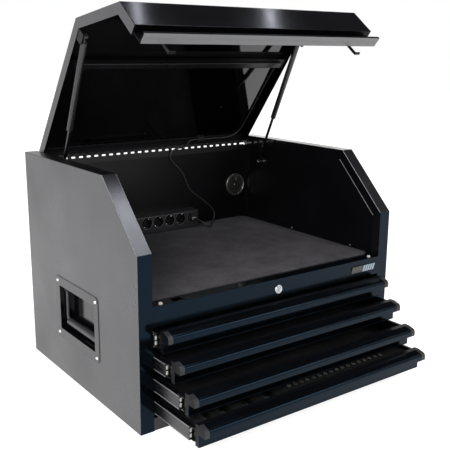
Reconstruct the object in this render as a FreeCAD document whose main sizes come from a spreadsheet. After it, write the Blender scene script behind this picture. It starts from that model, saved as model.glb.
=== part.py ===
import FreeCAD, Part
import math
import os
import re
import Sketcher
from FreeCAD import Placement, Rotation, Vector

# Tool chest with a hinged three-fold lid, gas struts and four drawers.
# X runs to the right, Y to the rear and Z up. The origin is the centre of the base.
# Millimetres and degrees. The drawers and the lid are modelled at rest, which is open.

SIZES = {
    # case
    "case_width": 762,
    "case_depth": 584,
    "case_height": 552,
    "column_height": 404,
    "slope_run": 147,
    "flange_width": 35,
    "return_width": 26,
    "sheet_steel": 1.2,
    "bend_radius": 1.6,
    "panel_inset": 3,
    "panel_drop": 2,
    # base, front rail and work deck
    "base_rail_height": 30,
    "base_rail_inset": 2,
    "base_hem": 12,
    "rail_face": 47,
    "rail_ledge": 36,
    "rail_hem": 15,
    "deck_upstand": 13,
    "mat_thickness": 3,
    "mat_margin": 1,
    "mat_overhang": 2,
    "mat_corner": 18,
    "bumper_radius": 5,
    "bumper_crown_radius": 3.5,
    "bumper_height": 3.6,
    "bumper_inset": 26,
    "bumper_setback": 10,
    # lid
    "lid_side_gap": 6,
    "lid_proud": 1.5,
    "lid_front_proud": 1,
    "lid_slope": 150,
    "lid_rail_gap": 4,
    "lid_return": 25,
    "lid_open_angle": 52.3,
    "pull_depth": 20,
    "pull_height": 35.5,
    "pull_nose": 6,
    "pull_lip": 5,
    "pull_sheet": 1.5,
    "pull_hem": 11.5,
    "pull_hem_drop": 0.8,
    "pull_end_gap": 3,
    "hook_left": 283,
    "hook_right": 250,
    "hook_thickness": 3,
    "hook_width": 6,
    "hook_length": 25.5,
    "hook_foot": 17,
    "hook_seat": 14,
    "stiffener_width": 30,
    "stiffener_depth": 18,
    "stiffener_flange": 12,
    "stiffener_setback": 105,
    "led_width": 16,
    "led_depth": 7,
    "led_length": 636,
    "led_corner": 2,
    # piano hinge
    "pin_radius": 1.5,
    "barrel_radius": 3,
    "pin_clearance": 0.05,
    "knuckle_length": 11.5,
    "knuckle_gap": 0.3,
    "leaf_width": 25,
    "leaf_thickness": 1.2,
    "leaf_fold": 17,
    "leaf_notch": 8,
    "hinge_drop": 21.5,
    # gas struts
    "strut_gap": 20,
    "strut_foot_setback": 97,
    "strut_foot_drop": 72,
    "strut_head_setback": 23.8,
    "strut_head_drop": 16,
    "strut_tube_radius": 7.5,
    "strut_bore_radius": 6,
    "strut_rod_radius": 4,
    "strut_rod_clearance": 0.08,
    "strut_rod_length": 185,
    "strut_tube_start": 154,
    "strut_gland": 6,
    "strut_neck": 6,
    "piston_length": 10,
    "ball_radius": 5,
    "ball_clearance": 0.08,
    "socket_radius": 8,
    "stud_radius": 3,
    "stud_plate_radius": 11,
    "stud_plate": 2,
    "stud_collar": 1.5,
    "bracket_half": 14,
    "bracket_thickness": 3,
    "bracket_clearance": 0.3,
    "bracket_drop": 6,
    "bracket_corner": 5,
    # lock
    "lock_drop": 25.5,
    "lock_radius": 7,
    "lock_sleeve_radius": 9.5,
    "lock_collar_radius": 11,
    "lock_collar": 2,
    "lock_reach": 22,
    "lock_clearance": 0.05,
    "key_width": 2,
    "key_height": 7,
    "key_depth": 8,
    "cam_radius": 12,
    "cam_thickness": 2,
    "cam_pin_radius": 2,
    "cam_pin_length": 8,
    "cam_throw": 8.49,
    "lock_bar_thickness": 3,
    "lock_bar_width": 12,
    "lock_bar_clearance": 0.3,
    "lock_bar_setback": 26,
    "fork_half": 8,
    "fork_gap": 2,
    "fork_thickness": 2,
    "fork_clearance": 0.6,
    "catch_width": 14,
    "catch_gap": 3,
    "catch_lift": 2,
    "catch_overlap": 4,
    "slot_margin": 4,
    "slot_clearance": 1.5,
    "slot_depth": 18.5,
    # blank name plate
    "plate_width": 90,
    "plate_height": 20,
    "plate_thickness": 1.2,
    "plate_slant": 7,
    "plate_inset": 53,
    "plate_drop": 24,
    # side handles
    "handle_setback": 9,
    "handle_height": 180,
    "handle_plate_width": 232,
    "handle_plate_height": 160,
    "handle_plate_corner": 12,
    "handle_opening_width": 190,
    "handle_opening_height": 114,
    "handle_cup_depth": 31.5,
    "handle_cup_gap": 1,
    "bail_pivot_drop": 12,
    "bail_arm": 83,
    "bail_wire_radius": 4,
    "bail_grip_radius": 8.5,
    "bail_grip_margin": 9,
    "bail_inset": 7,
    "bail_bend": 14,
    "bail_eye_radius": 6,
    "bail_pin_radius": 2,
    "bail_pin_clearance": 0.08,
    "screw_radius": 4.5,
    "screw_crown_radius": 3.2,
    "screw_height": 2.4,
    "screw_spacing_width": 208,
    "screw_spacing_height": 138,
    "deck_screw_front": 104,
    "deck_screw_spacing": 242,
    "deck_screw_height": 8,
    # power strip
    "strip_left": -88,
    "strip_length": 224,
    "strip_height": 53,
    "strip_depth": 45,
    "strip_edge": 4,
    "outlet_first": 42,
    "outlet_spacing": 38.4,
    "outlet_radius": 17,
    "outlet_depth": 12,
    "outlet_height": 33,
    "outlet_pin_radius": 2.4,
    "outlet_pin_spacing": 19,
    "outlet_pin_depth": 8,
    "outlet_turn": 35,
    "switch_along": 190,
    "switch_width": 11,
    "switch_height": 22,
    "switch_depth": 9,
    "switch_proud": 3,
    "switch_clearance": 0.5,
    "switch_travel_room": 1.9,
    "switch_pivot_depth": 6,
    "switch_rear_radius": 3,
    "switch_pin_radius": 1.5,
    "switch_pin_reach": 2.5,
    "switch_pin_clearance": 0.05,
    "usb_along": 206,
    "usb_width": 12,
    "usb_height": 6,
    "usb_length": 15,
    "usb_drop": 5,
    "usb_relief": 7,
    "relief_wall": 0.4,
    "gland_radius": 6,
    "gland_length": 8,
    # cable grommet in the back panel
    "grommet_inset": 41,
    "grommet_height": 397,
    "grommet_radius": 35,
    "grommet_sleeve_radius": 30,
    "grommet_wall": 1.5,
    "grommet_flange": 4,
    "grommet_sleeve": 10,
    "grommet_cap_thickness": 3,
    "grommet_cap_clearance": 0.3,
    "grommet_cap_setback": 1,
    "grommet_fit": 0.15,
    "grommet_lip": 3,
    "grommet_web": 1.5,
    "grommet_notch": 12,
    "grommet_knob_radius": 4,
    "grommet_crown_radius": 3,
    "grommet_knob_height": 1.5,
    # drawers
    "drawer_pitch": 52,
    "drawer_gap": 2,
    "drawer_side_gap": 9,
    "drawer_front_depth": 12,
    "drawer_hem": 1.6,
    "drawer_hem_proud": 0.8,
    "tray_depth": 520,
    "tray_lift": 4,
    "tray_rim": 6,
    "drawer_1_open": 26,
    "drawer_2_open": 70,
    "drawer_3_open": 122,
    "drawer_4_open": 159,
    # drawer pulls
    "grip_depth": 22,
    "grip_bottom": 28,
    "grip_slope": 6,
    "grip_radius": 9,
    "grip_wall": 2,
    "grip_cap_width": 12,
    # ball-bearing slides
    "slide_thickness": 12.7,
    "slide_height": 35,
    "slide_length": 500,
    "slide_lift": 7,
    "slide_steel": 1.2,
    "slide_nest": 0.3,
    "slide_outer_lip": 7,
    "slide_middle_lip": 8,
    "slide_inner_lip": 7.5,
    "slide_web_gap": 0.4,
    "slide_outer_inset": 6,
    "slide_middle_inset": 24,
    "slide_inner_inset": 13,
    # foam tray of the lowest drawer
    "foam_height": 30,
    "foam_margin": 4,
    "foam_pocket_depth": 16,
    "foam_bit_radius": 3.5,
    "foam_bit_depth": 3,
    "foam_bit_spacing": 19,
    "foam_bit_left": 50,
    "foam_bit_setback": 38,
    # lead of the lid light
    "lead_radius": 2,
    "connector_width": 10,
    "connector_height": 7,
}

# Places and sizes that follow from the driving ones.
WORKED_OUT = {
    "half_width": "case_width / 2",
    "inner_x": "case_width / 2 - flange_width",
    "front": "-case_depth / 2",
    "rear": "case_depth / 2",
    "slope_rise": "case_height - column_height",
    "slope_length": "sqrt(slope_run ^ 2 + slope_rise ^ 2)",
    "low_corner": "(slope_length - slope_rise) / slope_run",
    "high_corner": "(slope_length - slope_run) / slope_rise",
    "panel_rear": "rear - panel_inset",
    "panel_front": "panel_rear - sheet_steel",
    "tray_half": "inner_x - slide_thickness",
    "front_half": "inner_x - drawer_side_gap",
    "front_height": "drawer_pitch - drawer_gap",
    "rail_bottom": "base_rail_height + drawer_gap + 4 * drawer_pitch",
    "rail_top": "rail_bottom + rail_face",
    "ledge_rear": "front + rail_ledge",
    "mat_top": "rail_top + mat_thickness",
    "lid_half": "inner_x - lid_side_gap",
    "lid_top": "case_height + lid_proud",
    "lid_inside": "lid_top - sheet_steel",
    "lid_front": "front - lid_front_proud",
    "lid_bend": "lid_front + lid_slope",
    "lid_low_bend": "lid_top - lid_slope",
    "fold_corner": "sqrt(2) - 1",
    "hinge_y": "panel_front - barrel_radius",
    "hinge_z": "lid_top - hinge_drop",
    "hinge_half": "lid_half - 2.5",
    "panel_top": "hinge_z - leaf_notch - panel_drop",
    "pull_half": "lid_half - pull_end_gap",
    "pull_rear": "lid_front + pull_depth",
    "pull_under": "rail_top + lid_rail_gap",
    "lid_bottom": "pull_under + pull_height",
    "pull_tip": "lid_front - pull_nose",
    "hook_bottom": "pull_under - hook_length",
    "hook_rear": "pull_rear + hook_width",
    "stiffener_front": "lid_bend + stiffener_setback",
    "stiffener_rear": "stiffener_front + stiffener_width",
    "stiffener_bottom": "lid_inside - stiffener_depth",
    "strut_x": "inner_x - strut_gap",
    "strut_foot_y": "rear - strut_foot_setback",
    "strut_foot_z": "case_height - strut_foot_drop",
    "strut_head_y": "lid_bend + strut_head_setback",
    "strut_head_reach": "hinge_y - strut_head_y",
    "strut_head_z": "hinge_z - strut_head_drop",
    "strut_open_y": "hinge_y - strut_head_reach * cos(lid_open_angle)"
    " - strut_head_drop * sin(lid_open_angle)",
    "strut_open_z": "hinge_z + strut_head_reach * sin(lid_open_angle)"
    " - strut_head_drop * cos(lid_open_angle)",
    "strut_run": "strut_foot_y - strut_open_y",
    "strut_rise": "strut_open_z - strut_foot_z",
    "strut_length": "sqrt(strut_run ^ 2 + strut_rise ^ 2)",
    "strut_tilt": "atan(strut_run / strut_rise) / 1 deg",
    "bracket_x": "lid_half - sheet_steel - bracket_thickness",
    "lock_z": "rail_top - lock_drop",
    "lock_end": "front + lock_reach",
    "cam_end": "lock_end + cam_thickness",
    "bar_top": "rail_top - sheet_steel - lock_bar_clearance",
    "bar_bottom": "bar_top - lock_bar_thickness",
    "bar_front": "front + lock_bar_setback",
    "bar_rear": "bar_front + lock_bar_width",
    "plate_centre": "inner_x - plate_inset",
    "slot_rear": "hook_rear + slot_clearance",
    "slot_front": "slot_rear - slot_depth",
    "handle_y": "handle_setback",
    "handle_bottom": "handle_height - handle_opening_height / 2",
    "handle_top": "handle_height + handle_opening_height / 2",
    "cup_half": "handle_opening_width / 2",
    "cup_x": "half_width - handle_cup_depth",
    "bail_x": "half_width - handle_cup_depth / 2",
    "bail_z": "handle_top - bail_pivot_drop",
    "bail_half": "cup_half - bail_inset",
    "bail_pin_length": "bail_inset + bail_wire_radius",
    "strip_front": "panel_front - strip_depth",
    "strip_top": "mat_top + strip_height",
    "outlet_z": "mat_top + outlet_height",
    "switch_x": "strip_left + switch_along",
    "usb_x": "strip_left + usb_along",
    "usb_z": "outlet_z - usb_drop",
    "switch_pivot_y": "strip_front + switch_pivot_depth",
    "grommet_x": "inner_x - grommet_inset",
    "grommet_bore": "grommet_sleeve_radius - grommet_wall",
    "grommet_front": "panel_front - grommet_flange",
    "cap_radius": "grommet_bore - grommet_cap_clearance",
    "cap_front": "grommet_front + grommet_cap_setback",
    "web_front": "cap_front + grommet_cap_thickness + grommet_cap_clearance",
    "middle_height": "slide_height - 2 * slide_steel - 2 * slide_nest",
    "inner_height": "middle_height - 2 * slide_steel - 2 * slide_nest",
}

doc = FreeCAD.newDocument("ToolChest")
sheet = doc.addObject("Spreadsheet::Sheet", "Sizes")
places = doc.addObject("App::VarSet", "Places")
finished = {}
pockets = []


def bound(text):
    """An expression in which every name points at the sheet or at the worked-out places."""

    def full(match):
        word = match.group(1)
        if word in SIZES:
            return f"Sizes.{word}"
        return f"Places.{word}" if word in WORKED_OUT else word

    return re.sub(r"\b([a-z][a-z0-9_]*)\b", full, str(text))


def number(name):
    """The value of a driving or worked-out size."""
    return float(getattr(sheet if name in SIZES else places, name))


def fill_sheet():
    for row, (name, value) in enumerate(SIZES.items(), 1):
        sheet.set(f"A{row}", name)
        sheet.set(f"B{row}", str(value))
        sheet.setAlias(f"B{row}", name)
    doc.recompute()
    for name in WORKED_OUT:
        places.addProperty("App::PropertyFloat", name)
    for name, formula in WORKED_OUT.items():
        places.setExpression(name, bound(formula))
    doc.recompute()


def finish(node, thing):
    """Names a sub-part. Its label is also the name of its file."""
    thing.Label = node
    finished[node] = thing
    return thing


def on_lid(node, thing):
    """A sub-part drawn with the lid closed, turned about the hinge to the open lid."""
    turn = "rotation(vector(1; 0; 0); -lid_open_angle)"
    centre = "vector(0; hinge_y; hinge_z)"
    thing.setExpression("Placement", bound(f"placement(vector(0; 0; 0); {turn}; {centre})"))
    return finish(node, thing)


def box(name, x, y, z):
    """A block between a low and a high value along each axis."""
    block = doc.addObject("Part::Box", name)
    for span, length, axis in zip((x, y, z), ("Length", "Width", "Height"), "xyz"):
        block.setExpression(length, bound(f"({span[1]}) - ({span[0]})"))
        block.setExpression(f"Placement.Base.{axis}", bound(span[0]))
    return block


TURNS = {"x": Rotation(Vector(0, 1, 0), 90), "y": Rotation(Vector(1, 0, 0), -90), "z": Rotation()}


def place(thing, axis, start):
    thing.Placement = Placement(Vector(), TURNS[axis])
    for letter, value in zip("xyz", start):
        thing.setExpression(f"Placement.Base.{letter}", bound(value))
    return thing


def cylinder(name, axis, start, length, radius):
    thing = doc.addObject("Part::Cylinder", name)
    thing.setExpression("Radius", bound(radius))
    thing.setExpression("Height", bound(length))
    return place(thing, axis, start)


def cone(name, axis, start, length, radius_1, radius_2):
    thing = doc.addObject("Part::Cone", name)
    thing.setExpression("Radius1", bound(radius_1))
    thing.setExpression("Radius2", bound(radius_2))
    thing.setExpression("Height", bound(length))
    return place(thing, axis, start)


def ball(name, centre, radius):
    thing = doc.addObject("Part::Sphere", name)
    thing.setExpression("Radius", bound(radius))
    return place(thing, "z", centre)


def fuse(name, things):
    joined = doc.addObject("Part::MultiFuse", name)
    joined.Shapes = things
    joined.Refine = True
    return joined


def cut(name, base, tools):
    hollow = doc.addObject("Part::Cut", name)
    hollow.Base = base
    hollow.Tool = tools[0] if len(tools) == 1 else fuse(f"{name}Tools", tools)
    hollow.Refine = True
    return hollow


def group(name, things):
    """Separate solids that share one node."""
    several = doc.addObject("Part::Compound", name)
    several.Links = things
    return several


def mirrored(name, thing):
    """The same piece on the other side of the chest."""
    copy = doc.addObject("Part::Mirroring", name)
    copy.Source = thing
    copy.Normal = (1, 0, 0)
    copy.Base = (0, 0, 0)
    return copy


def rounded(name, thing, radius, wanted):
    """Rounds the straight edges that wanted(middle, direction) picks."""
    doc.recompute()
    chosen = []
    for index, edge in enumerate(thing.Shape.Edges, 1):
        if isinstance(edge.Curve, Part.Line):
            ends = [vertex.Point for vertex in edge.Vertexes]
            if wanted((ends[0] + ends[-1]) / 2, (ends[-1] - ends[0]).normalize()):
                chosen.append((index, radius, radius))
    soft = doc.addObject("Part::Fillet", name)
    soft.Base = thing
    soft.Edges = chosen
    return soft


PLANES = {"x": "YZ_Plane", "y": "XZ_Plane", "z": "XY_Plane"}


def body(name):
    return doc.addObject("PartDesign::Body", name)


def attached_sketch(owner, name, axis, span):
    """An empty sketch across an axis, from which a feature runs to the far end of the span."""
    drawn = owner.newObject("Sketcher::SketchObject", name)
    plane = [f for f in owner.Origin.OriginFeatures if f.Role == PLANES[axis]][0]
    drawn.AttachmentSupport = [(plane, "")]
    drawn.MapMode = "FlatFace"
    level = f"-({span[1]})" if axis == "y" else span[0]
    drawn.setExpression("AttachmentOffset.Base.z", bound(level))
    return drawn


def draw_outline(drawn, points):
    """A closed outline of straight lines whose corners are tied to expressions."""
    first = drawn.GeometryCount
    count = len(points)
    angles = [2 * math.pi * i / count for i in range(count)]
    rough = [Vector(math.cos(angle), math.sin(angle), 0) for angle in angles]
    for i in range(count):
        drawn.addGeometry(Part.LineSegment(rough[i], rough[(i + 1) % count]), False)
    for i in range(count):
        following = first + (i + 1) % count
        drawn.addConstraint(Sketcher.Constraint("Coincident", first + i, 2, following, 1))
    for i, corner in enumerate(points):
        for kind, value in zip(("DistanceX", "DistanceY"), corner):
            row = drawn.addConstraint(Sketcher.Constraint(kind, -1, 1, first + i, 1, 1.0))
            drawn.setExpression(f"Constraints[{row}]", bound(value))


def draw_circle(drawn, centre, radius):
    index = drawn.addGeometry(Part.Circle(Vector(), Vector(0, 0, 1), 1), False)
    for kind, value in zip(("DistanceX", "DistanceY"), centre):
        row = drawn.addConstraint(Sketcher.Constraint(kind, -1, 1, index, 3, 1.0))
        drawn.setExpression(f"Constraints[{row}]", bound(value))
    row = drawn.addConstraint(Sketcher.Constraint("Radius", index, 1.0))
    drawn.setExpression(f"Constraints[{row}]", bound(radius))


def run_along(owner, name, kind, axis, span, drawn):
    feature = owner.newObject(f"PartDesign::{kind}", name)
    feature.Profile = drawn
    feature.setExpression("Length", bound(f"({span[1]}) - ({span[0]})"))
    if kind == "Pocket":
        feature.Reversed = True
        pockets.append(feature)
    drawn.Visibility = False
    return feature


def pad(owner, name, axis, span, *outlines):
    drawn = attached_sketch(owner, f"{name}Sketch", axis, span)
    for points in outlines:
        draw_outline(drawn, points)
    return run_along(owner, name, "Pad", axis, span, drawn)


def pocket(owner, name, axis, span, *outlines):
    drawn = attached_sketch(owner, f"{name}Sketch", axis, span)
    for points in outlines:
        draw_outline(drawn, points)
    return run_along(owner, name, "Pocket", axis, span, drawn)


def bore(owner, name, axis, span, centre, radius):
    drawn = attached_sketch(owner, f"{name}Sketch", axis, span)
    draw_circle(drawn, centre, radius)
    return run_along(owner, name, "Pocket", axis, span, drawn)


def soften(owner, name, radius, wanted):
    """A fillet on the straight edges of a body that wanted(middle, direction) picks."""
    doc.recompute()
    base = owner.Tip
    chosen = []
    for index, edge in enumerate(base.Shape.Edges, 1):
        if isinstance(edge.Curve, Part.Line):
            ends = [vertex.Point for vertex in edge.Vertexes]
            if wanted((ends[0] + ends[-1]) / 2, (ends[-1] - ends[0]).normalize()):
                chosen.append(f"Edge{index}")
    fillet = owner.newObject("PartDesign::Fillet", name)
    fillet.Base = (base, chosen)
    fillet.setExpression("Radius", bound(radius))
    return fillet


def near(a, b):
    return abs(a - b) < 0.01


def rectangle(low, high):
    return [(low[0], low[1]), (high[0], low[1]), (high[0], high[1]), (low[0], high[1])]


# ---- case ----


def side_outline(inset):
    """Side profile with its sloped front, moved inwards all round."""
    return [
        (f"rear - ({inset})", inset),
        (f"front + ({inset})", inset),
        (f"front + ({inset})", f"column_height - ({inset}) * low_corner"),
        (f"front + slope_run + ({inset}) * high_corner", f"case_height - ({inset})"),
        (f"rear - ({inset})", f"case_height - ({inset})"),
    ]


def make_side_panels():
    """Folded sides: a skin, a flange all round it and a lip along the inner edge."""
    side = body("LeftSide")
    across = ("-half_width", "-inner_x")
    pad(side, "SideBlock", "x", across, side_outline("0"))
    hollow = ("-half_width + sheet_steel", "-inner_x")
    pocket(side, "SideHollow", "x", hollow, side_outline("sheet_steel"))
    outer_face = -number("half_width")
    soften(side, "SideBend", "bend_radius", lambda middle, way: near(middle.x, outer_face))
    lip = ("-inner_x - sheet_steel", "-inner_x")
    pad(side, "SideLip", "x", lip, side_outline("sheet_steel / 2"), side_outline("return_width"))
    margin = "(sheet_steel + handle_cup_gap)"
    low = (f"handle_y - cup_half - {margin}", f"handle_bottom - {margin}")
    high = (f"handle_y + cup_half + {margin}", f"handle_top + {margin}")
    window = ("-half_width - 1", "-half_width + 2 * sheet_steel")
    pocket(side, "HandleWindow", "x", window, rectangle(low, high))
    finish("left_side_panel", side)
    finish("right_side_panel", mirrored("RightSide", side))


def make_inner_walls():
    """Liners behind the side lips, which close the sides into double walls."""
    wall = body("LeftInnerWall")
    span = ("-inner_x - 2 * sheet_steel", "-inner_x - sheet_steel")
    pad(wall, "WallPlate", "x", span, side_outline("2 * sheet_steel"))
    finish("inner_walls", group("InnerWalls", [wall, mirrored("RightInnerWall", wall)]))


def make_back_panel():
    panel = body("BackPanel")
    span = ("panel_front", "panel_rear")
    pad(panel, "BackPlate", "y", span, rectangle(("-inner_x", "0"), ("inner_x", "panel_top")))
    through = ("panel_front - 1", "panel_rear + 1")
    bore(panel, "GrommetHole", "y", through, ("grommet_x", "grommet_height"), "grommet_sleeve_radius")
    finish("back_panel", panel)


def make_base_pan():
    """Floor of the case with the rail below the lowest drawer folded up from it."""
    across = ("-inner_x", "inner_x")
    face = "front + base_rail_inset"
    pieces = [
        box("BaseFloor", across, (face, "panel_front"), ("0", "sheet_steel")),
        box("BaseRail", across, (face, f"{face} + sheet_steel"), ("0", "base_rail_height")),
        box(
            "BaseHem",
            across,
            (face, f"{face} + base_hem"),
            ("base_rail_height - sheet_steel", "base_rail_height"),
        ),
        box("BaseUpstand", across, ("panel_front - sheet_steel", "panel_front"), ("0", "base_hem")),
    ]
    finish("base_pan", fuse("BasePan", pieces))


def make_front_rail():
    """Channel above the drawers, with slots for the lid hooks and a hole for the lock."""
    rail = body("FrontRail")
    outline = [
        ("front", "rail_bottom"),
        ("front", "rail_top"),
        ("ledge_rear", "rail_top"),
        ("ledge_rear", "rail_top - sheet_steel"),
        ("front + sheet_steel", "rail_top - sheet_steel"),
        ("front + sheet_steel", "rail_bottom + sheet_steel"),
        ("front + rail_hem", "rail_bottom + sheet_steel"),
        ("front + rail_hem", "rail_bottom"),
    ]
    pad(rail, "RailChannel", "x", ("-inner_x", "inner_x"), outline)
    front, top = number("front"), number("rail_top")
    soften(rail, "RailBend", "sheet_steel", lambda middle, way: near(middle.y, front) and near(middle.z, top))
    for side, hook in (("Left", "-hook_left"), ("Right", "hook_right")):
        low = (f"{hook} - slot_margin", "slot_front")
        high = (f"{hook} + hook_foot + slot_margin", "slot_rear")
        depth = ("rail_top - 2 * sheet_steel", "rail_top + 1")
        pocket(rail, f"{side}Slot", "z", depth, rectangle(low, high))
    through = ("front - 1", "front + 2 * sheet_steel")
    bore(rail, "LockHole", "y", through, ("0", "lock_z"), "lock_sleeve_radius")
    finish("front_rail", rail)


def make_deck():
    """Work deck over the drawers, its side upstands and the mat that lies on it."""
    along = ("ledge_rear", "panel_front")
    upstand = ("rail_top - sheet_steel", "rail_top + deck_upstand")
    pieces = [
        box("DeckPlate", ("-inner_x", "inner_x"), along, ("rail_top - sheet_steel", "rail_top")),
        box("DeckLeft", ("-inner_x", "-inner_x + sheet_steel"), along, upstand),
        box("DeckRight", ("inner_x - sheet_steel", "inner_x"), along, upstand),
    ]
    finish("work_deck", fuse("WorkDeck", pieces))
    mat_x = "inner_x - sheet_steel - mat_margin"
    mat = box(
        "MatSheet",
        (f"-({mat_x})", mat_x),
        ("ledge_rear - mat_overhang", "panel_front - mat_margin"),
        ("rail_top", "mat_top"),
    )
    upright = rounded("MatCorners", mat, SIZES["mat_corner"], lambda middle, way: abs(way.z) > 0.9)
    finish("deck_mat", upright)


def make_bumpers():
    """Soft stops on which the closed lid rests."""
    pads = []
    for side, sign in (("Left", "-"), ("Right", "")):
        start = (f"{sign}(inner_x - bumper_inset)", "front + bumper_setback", "rail_top")
        radii = ("bumper_radius", "bumper_crown_radius")
        pads.append(cone(f"{side}Bumper", "z", start, "bumper_height", *radii))
    finish("rail_bumpers", group("Bumpers", pads))


# ---- piano hinge and lid ----


def hinge_leaf(first, upwards):
    """One leaf of the piano hinge: a folded strip whose knuckles alternate with the other leaf's."""
    half, y, z = number("hinge_half"), number("hinge_y"), number("hinge_z")
    step = number("knuckle_length")
    thick = number("leaf_thickness")
    back = number("panel_front")
    way = 1 if upwards else -1
    root = z + way * number("leaf_notch")
    end = number("lid_inside") if upwards else z - number("leaf_width")
    low, high = min(root, end), max(root, end)
    strip = Part.makeBox(2 * half, thick, high - low, Vector(-half, back - thick, low))
    solids = []
    if upwards:
        fold = number("leaf_fold")
        solids.append(Part.makeBox(2 * half, fold, thick, Vector(-half, back - thick - fold, high - thick)))
    count = int(2 * half // step)
    margin = (2 * half - count * step) / 2
    gap = number("knuckle_gap") / 2
    for index in range(first, count, 2):
        start = -half + margin + index * step + gap
        length = step - 2 * gap
        axis = (Vector(start, y, z), Vector(1, 0, 0))
        solids.append(Part.makeCylinder(number("barrel_radius"), length, *axis))
        tab_low, tab_high = min(z, root), max(z, root)
        solids.append(Part.makeBox(length, thick, tab_high - tab_low, Vector(start, back - thick, tab_low)))
    hole = number("pin_radius") + number("pin_clearance")
    drill = Part.makeCylinder(hole, 2 * half + 2, Vector(-half - 1, y, z), Vector(1, 0, 0))
    return strip.multiFuse(solids).removeSplitter().cut(drill)


def make_hinge():
    lower = doc.addObject("Part::Feature", "CaseLeaf")
    lower.Shape = hinge_leaf(0, False)
    finish("hinge_leaf_case", lower)
    upper = doc.addObject("Part::Feature", "LidLeaf")
    upper.Shape = hinge_leaf(1, True)
    on_lid("hinge_leaf_lid", upper)
    start = ("-hinge_half", "hinge_y", "hinge_z")
    finish("hinge_pin", cylinder("HingePin", "x", start, "2 * hinge_half", "pin_radius"))


def lid_outline(inset):
    """The three folds of the lid from its rear edge to its front edge."""
    return [
        (f"panel_rear - ({inset})", f"lid_top - ({inset})"),
        (f"lid_bend + ({inset}) * fold_corner", f"lid_top - ({inset})"),
        (f"lid_front + ({inset})", f"lid_low_bend - ({inset}) * fold_corner"),
    ]


def make_lid_shell():
    """Lid skin with turned-down sides. It fits between the flanges of the side panels."""
    lid = body("Lid")
    skin = lid_outline("0")
    edge = lid_outline("lid_return")
    block = [("panel_rear", "lid_top - lid_return"), *skin, ("lid_front", "lid_bottom")]
    block += [("lid_front + lid_return", "lid_bottom"), edge[2], edge[1]]
    pad(lid, "LidBlock", "x", ("-lid_half", "lid_half"), block)
    inner = lid_outline("sheet_steel")
    clear = lid_outline("lid_return + 2")
    hollow = [("panel_rear - sheet_steel", "lid_top - lid_return - 2"), *inner]
    hollow.append(("lid_front + sheet_steel", "lid_bottom - 1"))
    hollow.append(("lid_front + lid_return + 2", "lid_bottom - 1"))
    hollow += [clear[2], clear[1]]
    pocket(lid, "LidHollow", "x", ("-lid_half + sheet_steel", "lid_half - sheet_steel"), hollow)
    half = number("lid_half")
    bends = [(number("panel_rear"), number("lid_top")), (number("lid_bend"), number("lid_top"))]
    bends.append((number("lid_front"), number("lid_low_bend")))

    def outside(middle, way):
        on_bend = any(near(middle.y, y) and near(middle.z, z) for y, z in bends)
        return on_bend and abs(way.x) > 0.9

    def long_edge(middle, way):
        if not near(abs(middle.x), half) or abs(way.x) > 0.1:
            return False
        y, z = middle.y, middle.z
        on_top = near(z, bends[0][1])
        on_front = near(y, bends[2][0])
        slope = (z - bends[2][1]) - (y - bends[2][0])
        return on_top or on_front or abs(slope) < 0.01

    soften(lid, "LidBends", "2 * bend_radius", outside)
    soften(lid, "LidEdges", "sheet_steel", long_edge)
    notch = ("panel_front - 1", "panel_rear + 1")
    low = ("-hinge_half - 1", "lid_top - lid_return - 1")
    high = ("hinge_half + 1", "hinge_z + leaf_notch")
    pocket(lid, "HingeRoom", "y", notch, rectangle(low, high))
    on_lid("lid_shell", lid)


def make_lid_pull():
    """Channel along the lid's front edge: a hollow for the fingers over a ledge with a folded nose."""
    pull = body("LidPull")
    outline = [
        ("lid_front", "lid_bottom"),
        ("pull_rear", "lid_bottom"),
        ("pull_rear", "pull_under"),
        ("pull_tip + pull_hem", "pull_under"),
        ("pull_tip + pull_hem", "pull_under - pull_hem_drop"),
        ("pull_tip", "pull_under - pull_hem_drop"),
        ("pull_tip", "pull_under + pull_lip"),
        ("pull_tip + pull_sheet", "pull_under + pull_lip"),
        ("pull_tip + pull_sheet", "pull_under + pull_sheet"),
        ("pull_rear - pull_sheet", "pull_under + pull_sheet"),
        ("pull_rear - pull_sheet", "lid_bottom - pull_sheet"),
        ("lid_front", "lid_bottom - pull_sheet"),
    ]
    pad(pull, "PullChannel", "x", ("-pull_half", "pull_half"), outline)
    on_lid("lid_pull_ledge", pull)


def make_hooks():
    """Hooks on the rear of the pull, which the lock bar catches when the lid is closed."""
    hooks = []
    for side, start in (("Left", "-hook_left"), ("Right", "hook_right")):
        depth = ("pull_rear", "hook_rear")
        leg_z = ("hook_bottom", "pull_under + hook_seat")
        leg = box(f"{side}Leg", (start, f"{start} + hook_thickness"), depth, leg_z)
        foot_z = ("hook_bottom", "hook_bottom + hook_thickness")
        foot = box(f"{side}Foot", (start, f"{start} + hook_foot"), depth, foot_z)
        hooks.append(fuse(f"{side}Hook", [leg, foot]))
    on_lid("lid_hooks", group("Hooks", hooks))


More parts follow.
